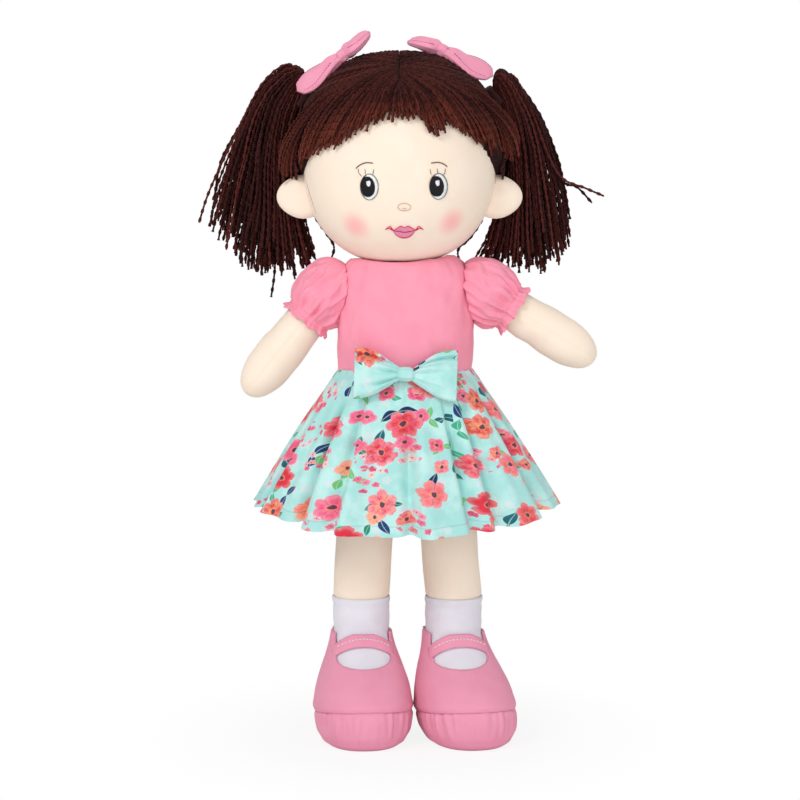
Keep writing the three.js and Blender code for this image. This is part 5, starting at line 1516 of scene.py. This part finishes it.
def bow_matrix(side):
    """The hair bow's place: the middle of the box of its solid band, turned by its slope and yaw."""
    low, high = (Vector(corner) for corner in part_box(f"hair_bow_band_{side}"))
    slope, yaw = BOW_PLACES[side][:2]
    sign = SIDES[side]
    turn = Matrix.Rotation(math.radians(sign * slope), 4, "Y")
    turn = turn @ Matrix.Rotation(math.radians(-sign * yaw), 4, "Z")
    return Matrix.Translation((low + high) / 2 / MM) @ turn


def wing_point(side, along, angle, proud=0.0):
    """A place on the bow, from -1 at the left wing's tip to 1 at the right one's."""
    share, sign = abs(along), math.copysign(1, along)
    outer = sign == SIDES[side]
    width, thick = read_smooth(WING, share)
    fan = math.sin(angle * 5 + (2 if along > 0 else 0)) * ridge(share - 0.2, 0.2)
    crease = 0.2 * math.sin(angle * 3 + 5 * share) * smoothstep(share, 0.2, 0.5) * abs(math.sin(angle))
    rim = abs(math.cos(angle)) ** 12
    y = BOW_HALF.y * width * bulge(math.cos(angle), 2.0)
    z = BOW_HALF.z * thick * (1 + 0.3 * fan + crease) * bulge(math.sin(angle), 1.7) * (1 - 0.4 * rim)
    dip = 0.5 * ridge(abs(math.cos(angle)) - 0.84, 0.05) * smoothstep(share, 0.2, 0.45)
    z += math.copysign(proud - dip, z)
    turn = lerp(BAND_TILT, WING_TILT if outer else BAND_TILT, smoothstep(share, 0.15, 0.8))
    back, up = (0, 0) if outer else [bend * share**2 for bend in BOW_PLACES[side][2:]]
    length = BOW_HALF.x * (1 if outer else INNER_WING)
    level, steep = math.cos(turn), math.sin(turn)
    return Vector((length * along, y * level - z * steep + back, y * steep + z * level + up))


def make_hair_bow(side):
    matrix, rows = bow_matrix(side), 60

    def place(u, v):
        along = math.copysign(1 - (1 - abs(2 * v - 1)) ** 1.25, 2 * v - 1)
        return matrix @ wing_point(side, along, math.tau * u)

    bm = face_outwards(bent_grid(56, rows, place, (0.05, 0.06)))
    bow = finish_piece(f"hair_bow_{side}_felt", bm, "head", PINK_FELT)
    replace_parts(bow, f"hair_bow_{side}")

    def band(u, v):
        angle, along = math.tau * u, lerp(-1, 1, v)
        half_y = BOW_HALF.y * 0.5 + 0.7 + 0.3 * math.sin(angle * 7) * (1 - abs(along))
        half_z = BOW_HALF.z * 0.72 + 0.7 + 0.35 * (1 - along**2)
        point = ring_point(angle, half_y, half_z, 2.6)
        point.rotate(Matrix.Rotation(BAND_TILT, 3, "Z"))
        return matrix @ Vector((BOW_BAND_WIDTH * 0.34 * along, point.x, point.y))

    bm = bent_grid(48, 10, band, (0.03, 0.008))
    bmesh.ops.recalc_face_normals(bm, faces=bm.faces)
    wrap = finish_piece(f"hair_bow_band_{side}_felt", bm, "head", PINK_FELT)
    add_wall(wrap, 0.8)
    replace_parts(wrap, f"hair_bow_band_{side}")

    stitches = []
    for sign in (-1, 1):
        for edge in (-1, 1):
            for k in range(14):
                start = lerp(0.24, 0.9, k / 14)
                for face in (-1, 1):
                    points = []
                    for step in range(4):
                        along = sign * (start + 0.03 * step / 3)
                        points.append(matrix @ wing_point(side, along, face * math.acos(0.8 * edge), 0.5))
                    stitches.append({"points": points, "tone": 0.5, "sizes": [1, 1.5, 1.5, 1]})
    make_strands(f"hair_bow_stitches_{side}", stitches, THREAD, "head", BOW_THREAD)
    return bow


BOW_THREAD = embroidery("plum topstitch", srgb(190, 84, 138))
for side in SIDES:
    print("hair bow", side, size_of(make_hair_bow(side)))

# %% Waist bow
WAIST_BOW_LEAN = math.radians(12)
LOOP = [(0, 0, 0.5), (0.2, 0.3, 0.75), (0.5, 0.72, 1), (0.82, 0.97, 0.9), (1, 1, 0.45)]
# Where on the printed cloth the bow is cut from, in metres: mostly plain ground, with a flower at the fold
LOOP_CLOTH = {"right": (0.053, 0.133), "left": (0.056, 0.110)}
KNOT_CLOTH = (0.092, 0.125)
KNOT_HALF = Vector((5.5, 5.2, 4.4))
knot_low, knot_high = (Vector(corner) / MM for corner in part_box("waist_bow_knot"))
WAIST_BOW_ROLL, WAIST_BOW_LIFT = math.radians(2), Vector((0, 0, 1.8))
WAIST_BOW = Matrix.Translation((knot_low + knot_high) / 2 + WAIST_BOW_LIFT)
WAIST_BOW = WAIST_BOW @ Matrix.Rotation(WAIST_BOW_ROLL, 4, "Y") @ Matrix.Rotation(-WAIST_BOW_LEAN, 4, "X")


def make_loop(side):
    sign, rows = SIDES[side], 40

    def place(u, v):
        row, angle = round(v * rows), math.tau * u
        share = min(row / (rows - 4), 1)
        reach = {rows - 3: 0.93, rows - 2: 0.72, rows - 1: 0.36, rows: 0.0}.get(row, 1.0)
        height, thick = read_smooth(LOOP, share)
        x = lerp(3.2, 32, share)
        half_height = lerp(4, 15.5, height)
        fan = math.cos(angle * 6 + 1.2) * ridge(share - 0.25, 0.3) + 0.5 * math.sin(angle * 9 + sign)
        front = smoothstep(-math.sin(angle), 0, 0.6)
        spokes = sum(ridge(math.cos(angle) - at, 0.09) for at in (-0.5, 0.08, 0.55))
        y = 4.6 * thick * bulge(math.sin(angle), 2.4) * (1 + 0.2 * fan) * reach
        y += 3.3 * front * spokes * ridge(share - 0.3, 0.34) * thick
        z = half_height * bulge(math.cos(angle), 2.4) * lerp(1, reach, 0.25)
        lip = ridge(math.cos(angle) - 0.74, 0.08) * smoothstep(share, 0.12, 0.4) * front
        y += 4.2 * lip
        z += 1.4 * ridge(math.cos(angle) - 1, 0.06) * smoothstep(share, 0.2, 0.6)
        sag = -1.6 * math.sin(share * 1.5) ** 2
        return WAIST_BOW @ Vector((sign * (x - 1.6 * (1 - reach) ** 2), y, z + sag + 0.8 * share))

    bm = face_outwards(bent_grid(96, rows, place, (0.072, 0.034)))
    change_cloth(bm, lambda at: at + Vector(LOOP_CLOTH[side]))
    loop_piece = finish_piece(f"waist_bow_{side}_cotton", bm, "torso", PRINT)
    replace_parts(loop_piece, f"waist_bow_loop_{side}")
    return loop_piece


def make_knot():
    def place(u, v):
        angle, along = math.tau * u, math.sin(lerp(-1, 1, v) * math.pi / 2)
        reach = (1 - abs(along) ** 4) ** 0.5
        fold = 1 + 0.05 * math.sin(angle * 8) * reach
        y = KNOT_HALF.y * bulge(math.sin(angle), 2.8) * reach * fold
        z = KNOT_HALF.z * bulge(math.cos(angle), 2.8) * reach * fold
        return WAIST_BOW @ Vector((KNOT_HALF.x * along, y, z))

    bm = face_outwards(bent_grid(56, 24, place, (0.03, 0.011)))
    change_cloth(bm, lambda at: at + Vector(KNOT_CLOTH))
    knot = finish_piece("waist_bow_knot_cotton", bm, "torso", PRINT)
    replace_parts(knot, "waist_bow_knot")
    return knot


for side in SIDES:
    print("waist bow", side, size_of(make_loop(side)))
print("knot", size_of(make_knot()))

# %% [markdown]
# ## Yarn hair
# The hair is yarn sewn to the head along a parting. From there it is combed to both sides: the front lengths
# are cut as a fringe, and all others run to a tie on each side, from which a pigtail hangs. Particle hair
# would be quick, but it isn't a mesh that others can reuse. Here each length of yarn is a strand of its own
# over a dark scalp, laid along a curve on the head's own formula.

# %% Scalp
CAP_GROW = (7.2, 8.9)


def hair_depth(at):
    """How far inside the haired part of the head a place is, in mm, from the middle of the head."""
    if at.y < 9:
        return (math.hypot(at.x / 68.5, (at.z + 27) / 65) - 1) * 62
    return at.z + lerp(25, 47, min((at.y - 9) / 43, 1))


def on_cap(direction, stand):
    """The place over the head in a direction from its middle, a stand in mm out of the hair's outside."""
    half = Vector((HEAD_HALF.x + CAP_GROW[0], HEAD_HALF.y + CAP_GROW[0], HEAD_HALF.z + CAP_GROW[1]))
    half += Vector((stand, stand, stand))
    level = math.hypot(direction.x / half.x, direction.y / half.y) ** FULLNESS
    share = (level + abs(direction.z / half.z) ** FULLNESS) ** (-1 / FULLNESS)
    return HEAD_CENTRE + direction * share


def make_scalp():
    def place(u, v):
        angle, latitude = math.tau * u, lerp(-1, 1, v) * math.pi / 2
        level = math.cos(latitude)
        direction = Vector((math.cos(angle) * level, math.sin(angle) * level, math.sin(latitude)))
        at = on_cap(direction, 0) - HEAD_CENTRE
        inside = smoothstep(hair_depth(at), 0.5, 5)
        return on_cap(direction, lerp(-9.8, -2.6, inside))

    bm = face_outwards(bent_grid(72, 56, place, (0.4, 0.2)))
    return finish_piece("hair_scalp", bm, "head", SCALP)


def yarn_material(name, dark, light, tip):
    """Yarn whose strands differ by their own tone, and whose cut ends may be paler."""
    material, tree, shader = new_material(name, 0.95, 0.06, 0.05)
    tone = add_node(tree, "Attribute", attribute_name="tone")
    parts = add_node(tree, "SeparateColor", {0: tone.outputs["Color"]})
    nap = place_group(tree, NAP, {0: object_place(tree), 1: 2200.0})
    own = math_node(tree, "MULTIPLY_ADD", parts.outputs[0], 0.7, -0.35)
    share = math_node(tree, "MULTIPLY_ADD", nap.outputs[0], 0.7, own)
    colour = mix_colour(tree, ramp(tree, share, 0.0, 0.75), dark, light)
    colour = mix_colour(tree, parts.outputs[1], colour, tip)
    add_bump(tree, shader, 0.7, 0.0006, nap.outputs[0])
    tree.links.new(colour, shader.inputs["Base Color"])
    return material


SCALP = dyed_fabric(
    "scalp knit", srgb(40, 13, 11), srgb(30, 9, 8), KNIT, 500.0, 0.8, on_cloth=False, sheen=0.0)
YARN = yarn_material("brown yarn", srgb(46, 15, 13), srgb(94, 40, 35), srgb(112, 54, 42))
FRINGE_YARN = yarn_material("fringe yarn", srgb(48, 17, 14), srgb(88, 38, 32), srgb(128, 58, 42))
scalp = make_scalp()
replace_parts(scalp, "hair_cap")
print("scalp", size_of(scalp))

# %% Combed lengths from the parting to the ties
YARN_PROFILE = make_profile("yarn_profile", 1.12, 2, 0.62)
YARN_STEP, COMB_STEPS = 1.5, 40
# Where the ties are, from the middle of the head, and in which directions
TIE_PLACE = {side: Vector((sign * 57, 14, 41)) for side, sign in SIDES.items()}
TIE = {side: place.normalized() for side, place in TIE_PLACE.items()}
# From where to where yarn is sewn in along the parting and the lower hairline, in degrees, and how much
PARTING_SPAN, PARTING_STRANDS, FRONT_STRANDS = (58, 214), 88, 24
HAIRLINE_SPAN, HAIRLINE_STRANDS = (-12, 91.5), 58
chance = random.Random(7)


def parting(degrees, sign):
    turn = math.radians(degrees)
    return Vector((sign * 0.008, -math.cos(turn), math.sin(turn))).normalized()


def hairline(degrees, sign):
    """A direction on the hair's lower edge, at an angle round from the ear to the nape."""
    turn, low, high = math.radians(degrees), -1.2, 0.6
    for _ in range(20):
        middle = (low + high) / 2
        level = math.cos(middle)
        direction = Vector((sign * math.cos(turn) * level, math.sin(turn) * level, math.sin(middle)))
        haired = hair_depth(on_cap(direction, 0) - HEAD_CENTRE) >= 1.5
        low, high = (low, middle) if haired else (middle, high)
    return direction


def combed(start, middle, end, stands, wobble=0.5):
    """A length of yarn laid over the head along a bend through three directions."""
    seed = Vector((chance.uniform(0, 90), 0, 0))
    points = []
    for step in range(COMB_STEPS + 1):
        t = step / COMB_STEPS
        direction = (start * (1 - t) ** 2 + middle * 2 * t * (1 - t) + end * t * t).normalized()
        stand = read_shares([(0, stands[0]), (0.5, stands[1]), (1, stands[2])], t)[0]
        shift = Vector([noise.noise(seed + Vector((k * 9.0, t * 5, 0))) for k in range(3)])
        points.append(on_cap(direction, stand) + shift * wobble)
    return points


def spun(points, step=YARN_STEP):
    """A strand along the points, with a tone by chance."""
    return {"points": even_points(points, step), "tone": chance.random()}


def combed_cap():
    strands = []
    for side, sign in SIDES.items():
        tie = TIE[side]
        for k in range(PARTING_STRANDS):
            degrees = lerp(*PARTING_SPAN, k / (PARTING_STRANDS - 1))
            start = parting(degrees + chance.uniform(-0.6, 0.6), sign)
            spread = Vector((0, math.cos(k * 2.4), math.sin(k * 2.4))) * 0.05
            middle = (start + tie).normalized() + Vector((sign * 0.05, 0, 0))
            stands = (-1.3, chance.uniform(-1.3, -0.1), -1.2)
            strands.append(spun(combed(start, middle, (tie + spread).normalized(), stands, 0.9)))
        for k in range(FRONT_STRANDS):
            low = k / (FRONT_STRANDS - 1)
            start = parting(64 - 4 * low + chance.uniform(-0.6, 0.6), sign)
            middle = ((start + tie).normalized()).lerp(Vector((sign * 0.66, -0.78, 0.46)), low)
            spread = Vector((0, -0.03 - 0.05 * low, -0.04 - 0.07 * low))
            stands = (-1.5, chance.uniform(-0.6, 0.3), -1.0)
            strands.append(spun(combed(start, middle, (tie + spread).normalized(), stands)))
        for k in range(HAIRLINE_STRANDS):
            degrees = lerp(*HAIRLINE_SPAN, k / (HAIRLINE_STRANDS - 1))
            start = hairline(degrees + chance.uniform(-0.5, 0.5), sign)
            spread = Vector((0, 0.05 * math.cos(k * 1.3), -0.08))
            middle = (start + tie + spread).normalized()
            stands = (-2.4, chance.uniform(-1.9, -1.0), -1.6)
            strands.append(spun(combed(start, middle, (tie + spread).normalized(), stands, 0.8)))
    return strands


cap = make_strands("hair_combed", combed_cap(), YARN_PROFILE, "head", YARN)
print("combed lengths", len(cap.data.polygons), "faces")

# %% Fringe
# The fringe's cut edge, as places in the camera's picture from the middle outwards
FRINGE_EDGE = {
    "right": [(404, 119), (395, 119), (384, 120), (376, 122), (367, 128), (358, 131), (350, 138), (338, 147),
              (328, 148), (318, 153), (309, 157), (303, 164), (297, 173), (288, 178), (279, 178)],
    "left": [(407, 120), (415, 118), (424, 119), (431, 134), (441, 137), (449, 124), (462, 133), (478, 144),
             (492, 152), (500, 158), (507, 160), (514, 158), (520, 152)],
}
FRINGE_LAYERS, FRINGE_STRANDS = 3, 46


def fringe_strands():
    strands = []
    for side, sign in SIDES.items():
        edge = FRINGE_EDGE[side]
        table = [(i / (len(edge) - 1), *spot) for i, spot in enumerate(edge)]
        for layer in range(FRINGE_LAYERS):
            for k in range(FRINGE_STRANDS):
                out = (k + 0.5 * (layer % 2)) / FRINGE_STRANDS
                column, row = read_smooth(table, min(out, 1))
                column += chance.uniform(-1.5, 1.5)
                row = row + math.sin(k * 1.9 + layer) * 2.4 - 4.5 * layer + chance.uniform(-2, 2)
                end = seen_on_head(column, row, 2.2 + 1.3 * layer)
                target = (end - HEAD_CENTRE).normalized()
                start = parting(lerp(47, 58, min(out * 2.2, 1)) + chance.uniform(-1.5, 1.5), sign)
                middle = (start + target).normalized() + Vector((sign * 0.1 * out, -0.08 * out, 0.05 * out))
                stands = (-2.2 + 0.4 * layer, -1.2 + 0.6 * layer, -3)
                points = combed(start, middle.normalized(), target, stands, 0.7)
                move = end - points[-1]
                bent = [p + move * smoothstep(i / COMB_STEPS, 0.3, 1) for i, p in enumerate(points)]
                line, share = even_points(bent, YARN_STEP), chance.uniform(0.25, 0.9)
                tips = [smoothstep(i / len(line), 0.55, 1.0) * share for i in range(len(line))]
                strands.append({"points": line, "tone": chance.random(), "tips": tips})
    return strands


fringe = make_strands("hair_fringe", fringe_strands(), YARN_PROFILE, "head", FRINGE_YARN)
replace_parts(fringe, "fringe")
print("fringe", len(fringe.data.polygons), "faces")

# %% Ties
TIE_TILT = math.radians(34)
TIE_ELASTIC = dyed_fabric(
    "dark hair elastic", srgb(58, 22, 20), srgb(36, 12, 12), WEAVE, 1400.0, 0.6, sheen=0.05)


def make_tie(side):
    sign = SIDES[side]
    outwards = Vector((sign * math.cos(TIE_TILT), 0, math.sin(TIE_TILT)))
    middle = HEAD_CENTRE + TIE_PLACE[side] + outwards * 4
    across, deep = outwards.cross(Vector((0, 1, 0))), Vector((0, 1, 0))

    def place(u, v):
        angle, way = math.tau * u, math.tau * v
        wind = 3 * way
        radius = 6.9 + 1.1 * math.cos(angle) + 0.35 * math.sin(wind * 2)
        along = 2.4 * math.sin(angle) * (1 + 0.2 * math.cos(wind))
        return middle + (across * math.cos(way) + deep * math.sin(way)) * radius + outwards * along

    bm = face_outwards(bent_grid(16, 60, place, (0.01, 0.045)))
    tie = finish_piece(f"hair_tie_{side}_elastic", bm, "head", TIE_ELASTIC)
    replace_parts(tie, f"hair_tie_{side}")
    return tie


for side in SIDES:
    print("tie", side, size_of(make_tie(side)))

# %% Pigtails
PIGTAIL_PIVOT = {side: Vector((HEAD_CENTRE.x + sign * 67.6, 14, 414.2)) for side, sign in SIDES.items()}
# Each pigtail's guide lines as places in the camera's picture: its outer edge, its middle and its inner edge
PIGTAIL_LINES = {
    "right": (
        [(302, 90), (306, 76), (300, 66), (286, 66), (265, 80), (249, 103), (236, 130), (224, 158),
         (214, 186), (207, 212), (204, 226)],
        [(302, 90), (307, 80), (301, 75), (290, 88), (279, 108), (273, 135), (270, 165), (269, 200),
         (268, 235), (266, 270)],
        [(302, 90), (307, 88), (309, 98), (307, 112), (304, 132), (300, 155), (298, 180), (301, 205),
         (308, 231), (321, 263)],
    ),
    "left": (
        [(498, 90), (494, 76), (500, 68), (512, 76), (528, 95), (541, 114), (552, 138), (560, 160),
         (567, 190), (572, 225), (576, 248)],
        [(498, 90), (493, 80), (499, 77), (510, 96), (519, 124), (524, 155), (526, 190), (527, 225),
         (529, 268)],
        [(498, 90), (493, 88), (491, 98), (493, 114), (495, 140), (497, 165), (498, 190), (495, 215),
         (485, 242), (472, 262)],
    ),
}
# Single strands that stand off, in the same picture
STRAYS = {
    "right": (
        [(300, 80), (288, 64), (262, 84), (238, 130), (220, 167), (207, 197), (199, 223)],
        [(300, 80), (286, 66), (264, 90), (241, 136), (226, 172), (214, 204), (211, 224)],
        [(304, 96), (303, 130), (306, 180), (314, 214), (326, 233), (334, 247), (330, 262)],
        [(300, 84), (290, 90), (276, 140), (272, 200), (275, 262), (271, 298)],
    ),
    "left": (
        [(500, 80), (514, 76), (532, 112), (547, 152), (562, 178), (585, 188), (606, 197)],
        [(500, 80), (516, 80), (536, 120), (551, 160), (565, 183), (577, 187), (592, 203)],
        [(498, 96), (496, 130), (492, 180), (484, 215), (470, 238), (458, 250), (461, 268)],
        [(500, 82), (514, 80), (531, 105), (545, 128), (556, 160), (560, 178)],
    ),
}
PIGTAIL_STRANDS, PIGTAIL_STEPS, LOCK_STEP = 190, 60, 1.7
# The turn from one strand to the next, in radians, that spreads them evenly over the pigtail's section
GOLDEN_TURN = 2.39996


def pigtail_guides(side):
    """The guide lines as tables of column, row and depth over their length."""
    tables = []
    for line in PIGTAIL_LINES[side]:
        points = even_points([Vector((*spot, 0)) for spot in line], 4)
        tables.append([(i / (len(points) - 1), point.x, point.y) for i, point in enumerate(points)])
    return tables


def pigtail_point(guides, share, across, deep):
    """A place in the pigtail: across is 1 at its outer and -1 at its inner edge, deep is 1 at its back."""
    outer, middle, inner = (Vector((*read_smooth(table, min(share, 1)), 0)) for table in guides)
    at = outer * (across * (across + 1) / 2) + middle * (1 - across**2) + inner * (across * (across - 1) / 2)
    if share > 1:
        at.y += (share - 1) * 190
    depth = lerp(14, 25, smoothstep(share, 0, 0.5)) + deep * lerp(5, 15, smoothstep(share, 0, 0.45))
    return seen_at(at.x, at.y, depth)


def pigtail_strands(side):
    strands, guides, root = [], pigtail_guides(side), PIGTAIL_PIVOT[side]
    for k in range(PIGTAIL_STRANDS):
        radius, turn = math.sqrt((k + 0.5) / PIGTAIL_STRANDS), k * GOLDEN_TURN
        across, deep = radius * math.cos(turn), radius * math.sin(turn)
        seed = Vector((k * 3.7, SIDES[side] * 11, 0))
        length = chance.uniform(0.9, 1.03) + 0.04 * math.sin(k * 0.9) - 0.12 * chance.random() ** 6
        loose = 1.3 + 7 * chance.random() ** 5
        points = []
        for step in range(PIGTAIL_STEPS + 1):
            t = step / PIGTAIL_STEPS * length
            shift = Vector([noise.noise(seed + Vector((axis * 7.0, t * 3.0, 0))) for axis in range(3)])
            point = pigtail_point(guides, t, across, deep)
            point = point.lerp(root + Vector((0, 5 * across, 5 * deep)), 0.7 * (1 - smoothstep(t, 0, 0.06)))
            points.append(point + Vector((shift.x, shift.y, shift.z * 0.3)) * loose * smoothstep(t, 0, 0.7))
        strands.append(spun(points, LOCK_STEP))
    for k, line in enumerate(STRAYS[side]):
        spots = curved(line, 8)
        points = [seen_at(*spot, lerp(15, 14 + 5 * k, i / (len(spots) - 1))) for i, spot in enumerate(spots)]
        strands.append(spun([root, *points], LOCK_STEP))
    return strands


for side in SIDES:
    strands = pigtail_strands(side)
    pigtail = make_strands(f"pigtail_{side}_yarn", strands, YARN_PROFILE, f"pigtail_{side}", YARN)
    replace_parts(pigtail, f"pigtail_{side}")
    print("pigtail", side, len(pigtail.data.polygons), "faces")

# %% [markdown]
# ## Pieces under the clothes
# The neck is a stuffed stub between the shoulders and the head. It hardly shows, but the head turns on it,
# so it gets the same knit as the head. The filling, the elastics and the sewn tabs keep their solids and
# get fabrics of their own, because they are hidden and their shapes are right.

# %% Neck and hidden pieces
# The neck's radius and height in mm: its flat foot in the shoulders, its stem and its round top in the head
NECK = [
    (0, 297.4), (10, 297.35), (19, 297.4), (20, 298.4), (19.4, 299.6), (14, 300.0), (12.2, 301), (12, 304),
    (12.4, 308), (13.4, 312), (14, 316), (13.5, 320), (12, 323.5), (9, 327), (5, 329.2), (0, 330),
]


def make_neck():
    def place(u, v):
        radius, height = NECK[round(v * (len(NECK) - 1))]
        return ring_point(math.tau * u, radius, radius) + Vector((0, 0, height))

    bm = face_outwards(bent_grid(40, len(NECK) - 1, place, (0.08, 0.05)))
    return finish_piece("neck_knit", bm, "neck", SKIN)


neck = make_neck()
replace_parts(neck, "neck_stub")
for name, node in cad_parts.items():
    for word, fabric in (("stuffing", FILLING), ("elastic", ELASTIC), ("seam", SKIN)):
        if word in name:
            node.data.materials.clear()
            node.data.materials.append(fabric)
for profile in (THREAD, YARN_PROFILE):
    bpy.data.objects.remove(profile)
print("neck", size_of(neck))

# %% [markdown]
# ## Floor and light
# The photograph has an even white ground and soft light. The floor is pale and keeps the doll's shadow
# close by, and further out it fades to plain white for the camera alone, so no light is added to the doll.

# %% Stage
def camera_rays(tree):
    """1 for the camera's rays, also where they come by way of a glossy or a clear surface."""
    rays = add_node(tree, "LightPath")
    seen = math_node(tree, "MAXIMUM", rays.outputs["Is Camera Ray"], rays.outputs["Is Glossy Ray"])
    return math_node(tree, "MAXIMUM", seen, rays.outputs["Is Transmission Ray"])


def make_floor():
    material, tree, shader = new_material("pale floor", 0.9, 0.0, 0.1)
    shader.inputs["Base Color"].default_value = srgb(246, 245, 244)
    seen = camera_rays(tree)
    away = vector_node(tree, "LENGTH", {0: object_place(tree)}, "Value")
    share = times(tree, ramp(tree, away, 0.06, 0.2, 0.86, 1.0), seen)
    white = add_node(tree, "Emission", {"Color": (1, 1, 1, 1), "Strength": 1.0})
    mixed = add_node(tree, "MixShader", {0: share, 1: shader.outputs[0], 2: white.outputs[0]})
    tree.links.new(mixed.outputs[0], tree.nodes["Material Output"].inputs["Surface"])
    bm = bmesh.new()
    bmesh.ops.create_circle(bm, cap_ends=True, segments=96, radius=6)
    mesh = bpy.data.meshes.new("floor")
    bm.to_mesh(mesh)
    bm.free()
    mesh.materials.append(material)
    floor = bpy.data.objects.new("floor", mesh)
    bpy.context.collection.objects.link(floor)


def make_lamp(name, place, size, power):
    data = bpy.data.lights.new(name, "AREA")
    data.shape, data.size, data.energy = "DISK", size, power
    lamp = bpy.data.objects.new(name, data)
    bpy.context.collection.objects.link(lamp)
    lamp.location = place
    lamp.rotation_euler = (Vector((0, 0, 0.23)) - Vector(place)).to_track_quat("-Z", "Y").to_euler()


def make_world():
    world = bpy.data.worlds.new("white ground")
    bpy.context.scene.world = world
    world.use_nodes = True
    tree = world.node_tree
    tree.nodes.clear()
    seen = camera_rays(tree)
    soft = add_node(tree, "Background", {"Color": (1, 1, 1, 1), "Strength": 0.5})
    white = add_node(tree, "Background", {"Color": (1, 1, 1, 1), "Strength": 1.0})
    mixed = add_node(tree, "MixShader", {0: seen, 1: soft.outputs[0], 2: white.outputs[0]})
    output = add_node(tree, "OutputWorld")
    tree.links.new(mixed.outputs[0], output.inputs["Surface"])


make_floor()
make_world()
make_lamp("key", (-0.9, -1.2, 1.3), 0.7, 11.0)
make_lamp("fill", (1.1, -1.3, 0.6), 1.2, 4.5)
make_lamp("low", (0.0, -1.7, 0.2), 1.4, 7.0)
make_lamp("top", (0.1, 0.3, 1.6), 1.0, 3.0)
bpy.context.scene.view_settings.view_transform = "Standard"
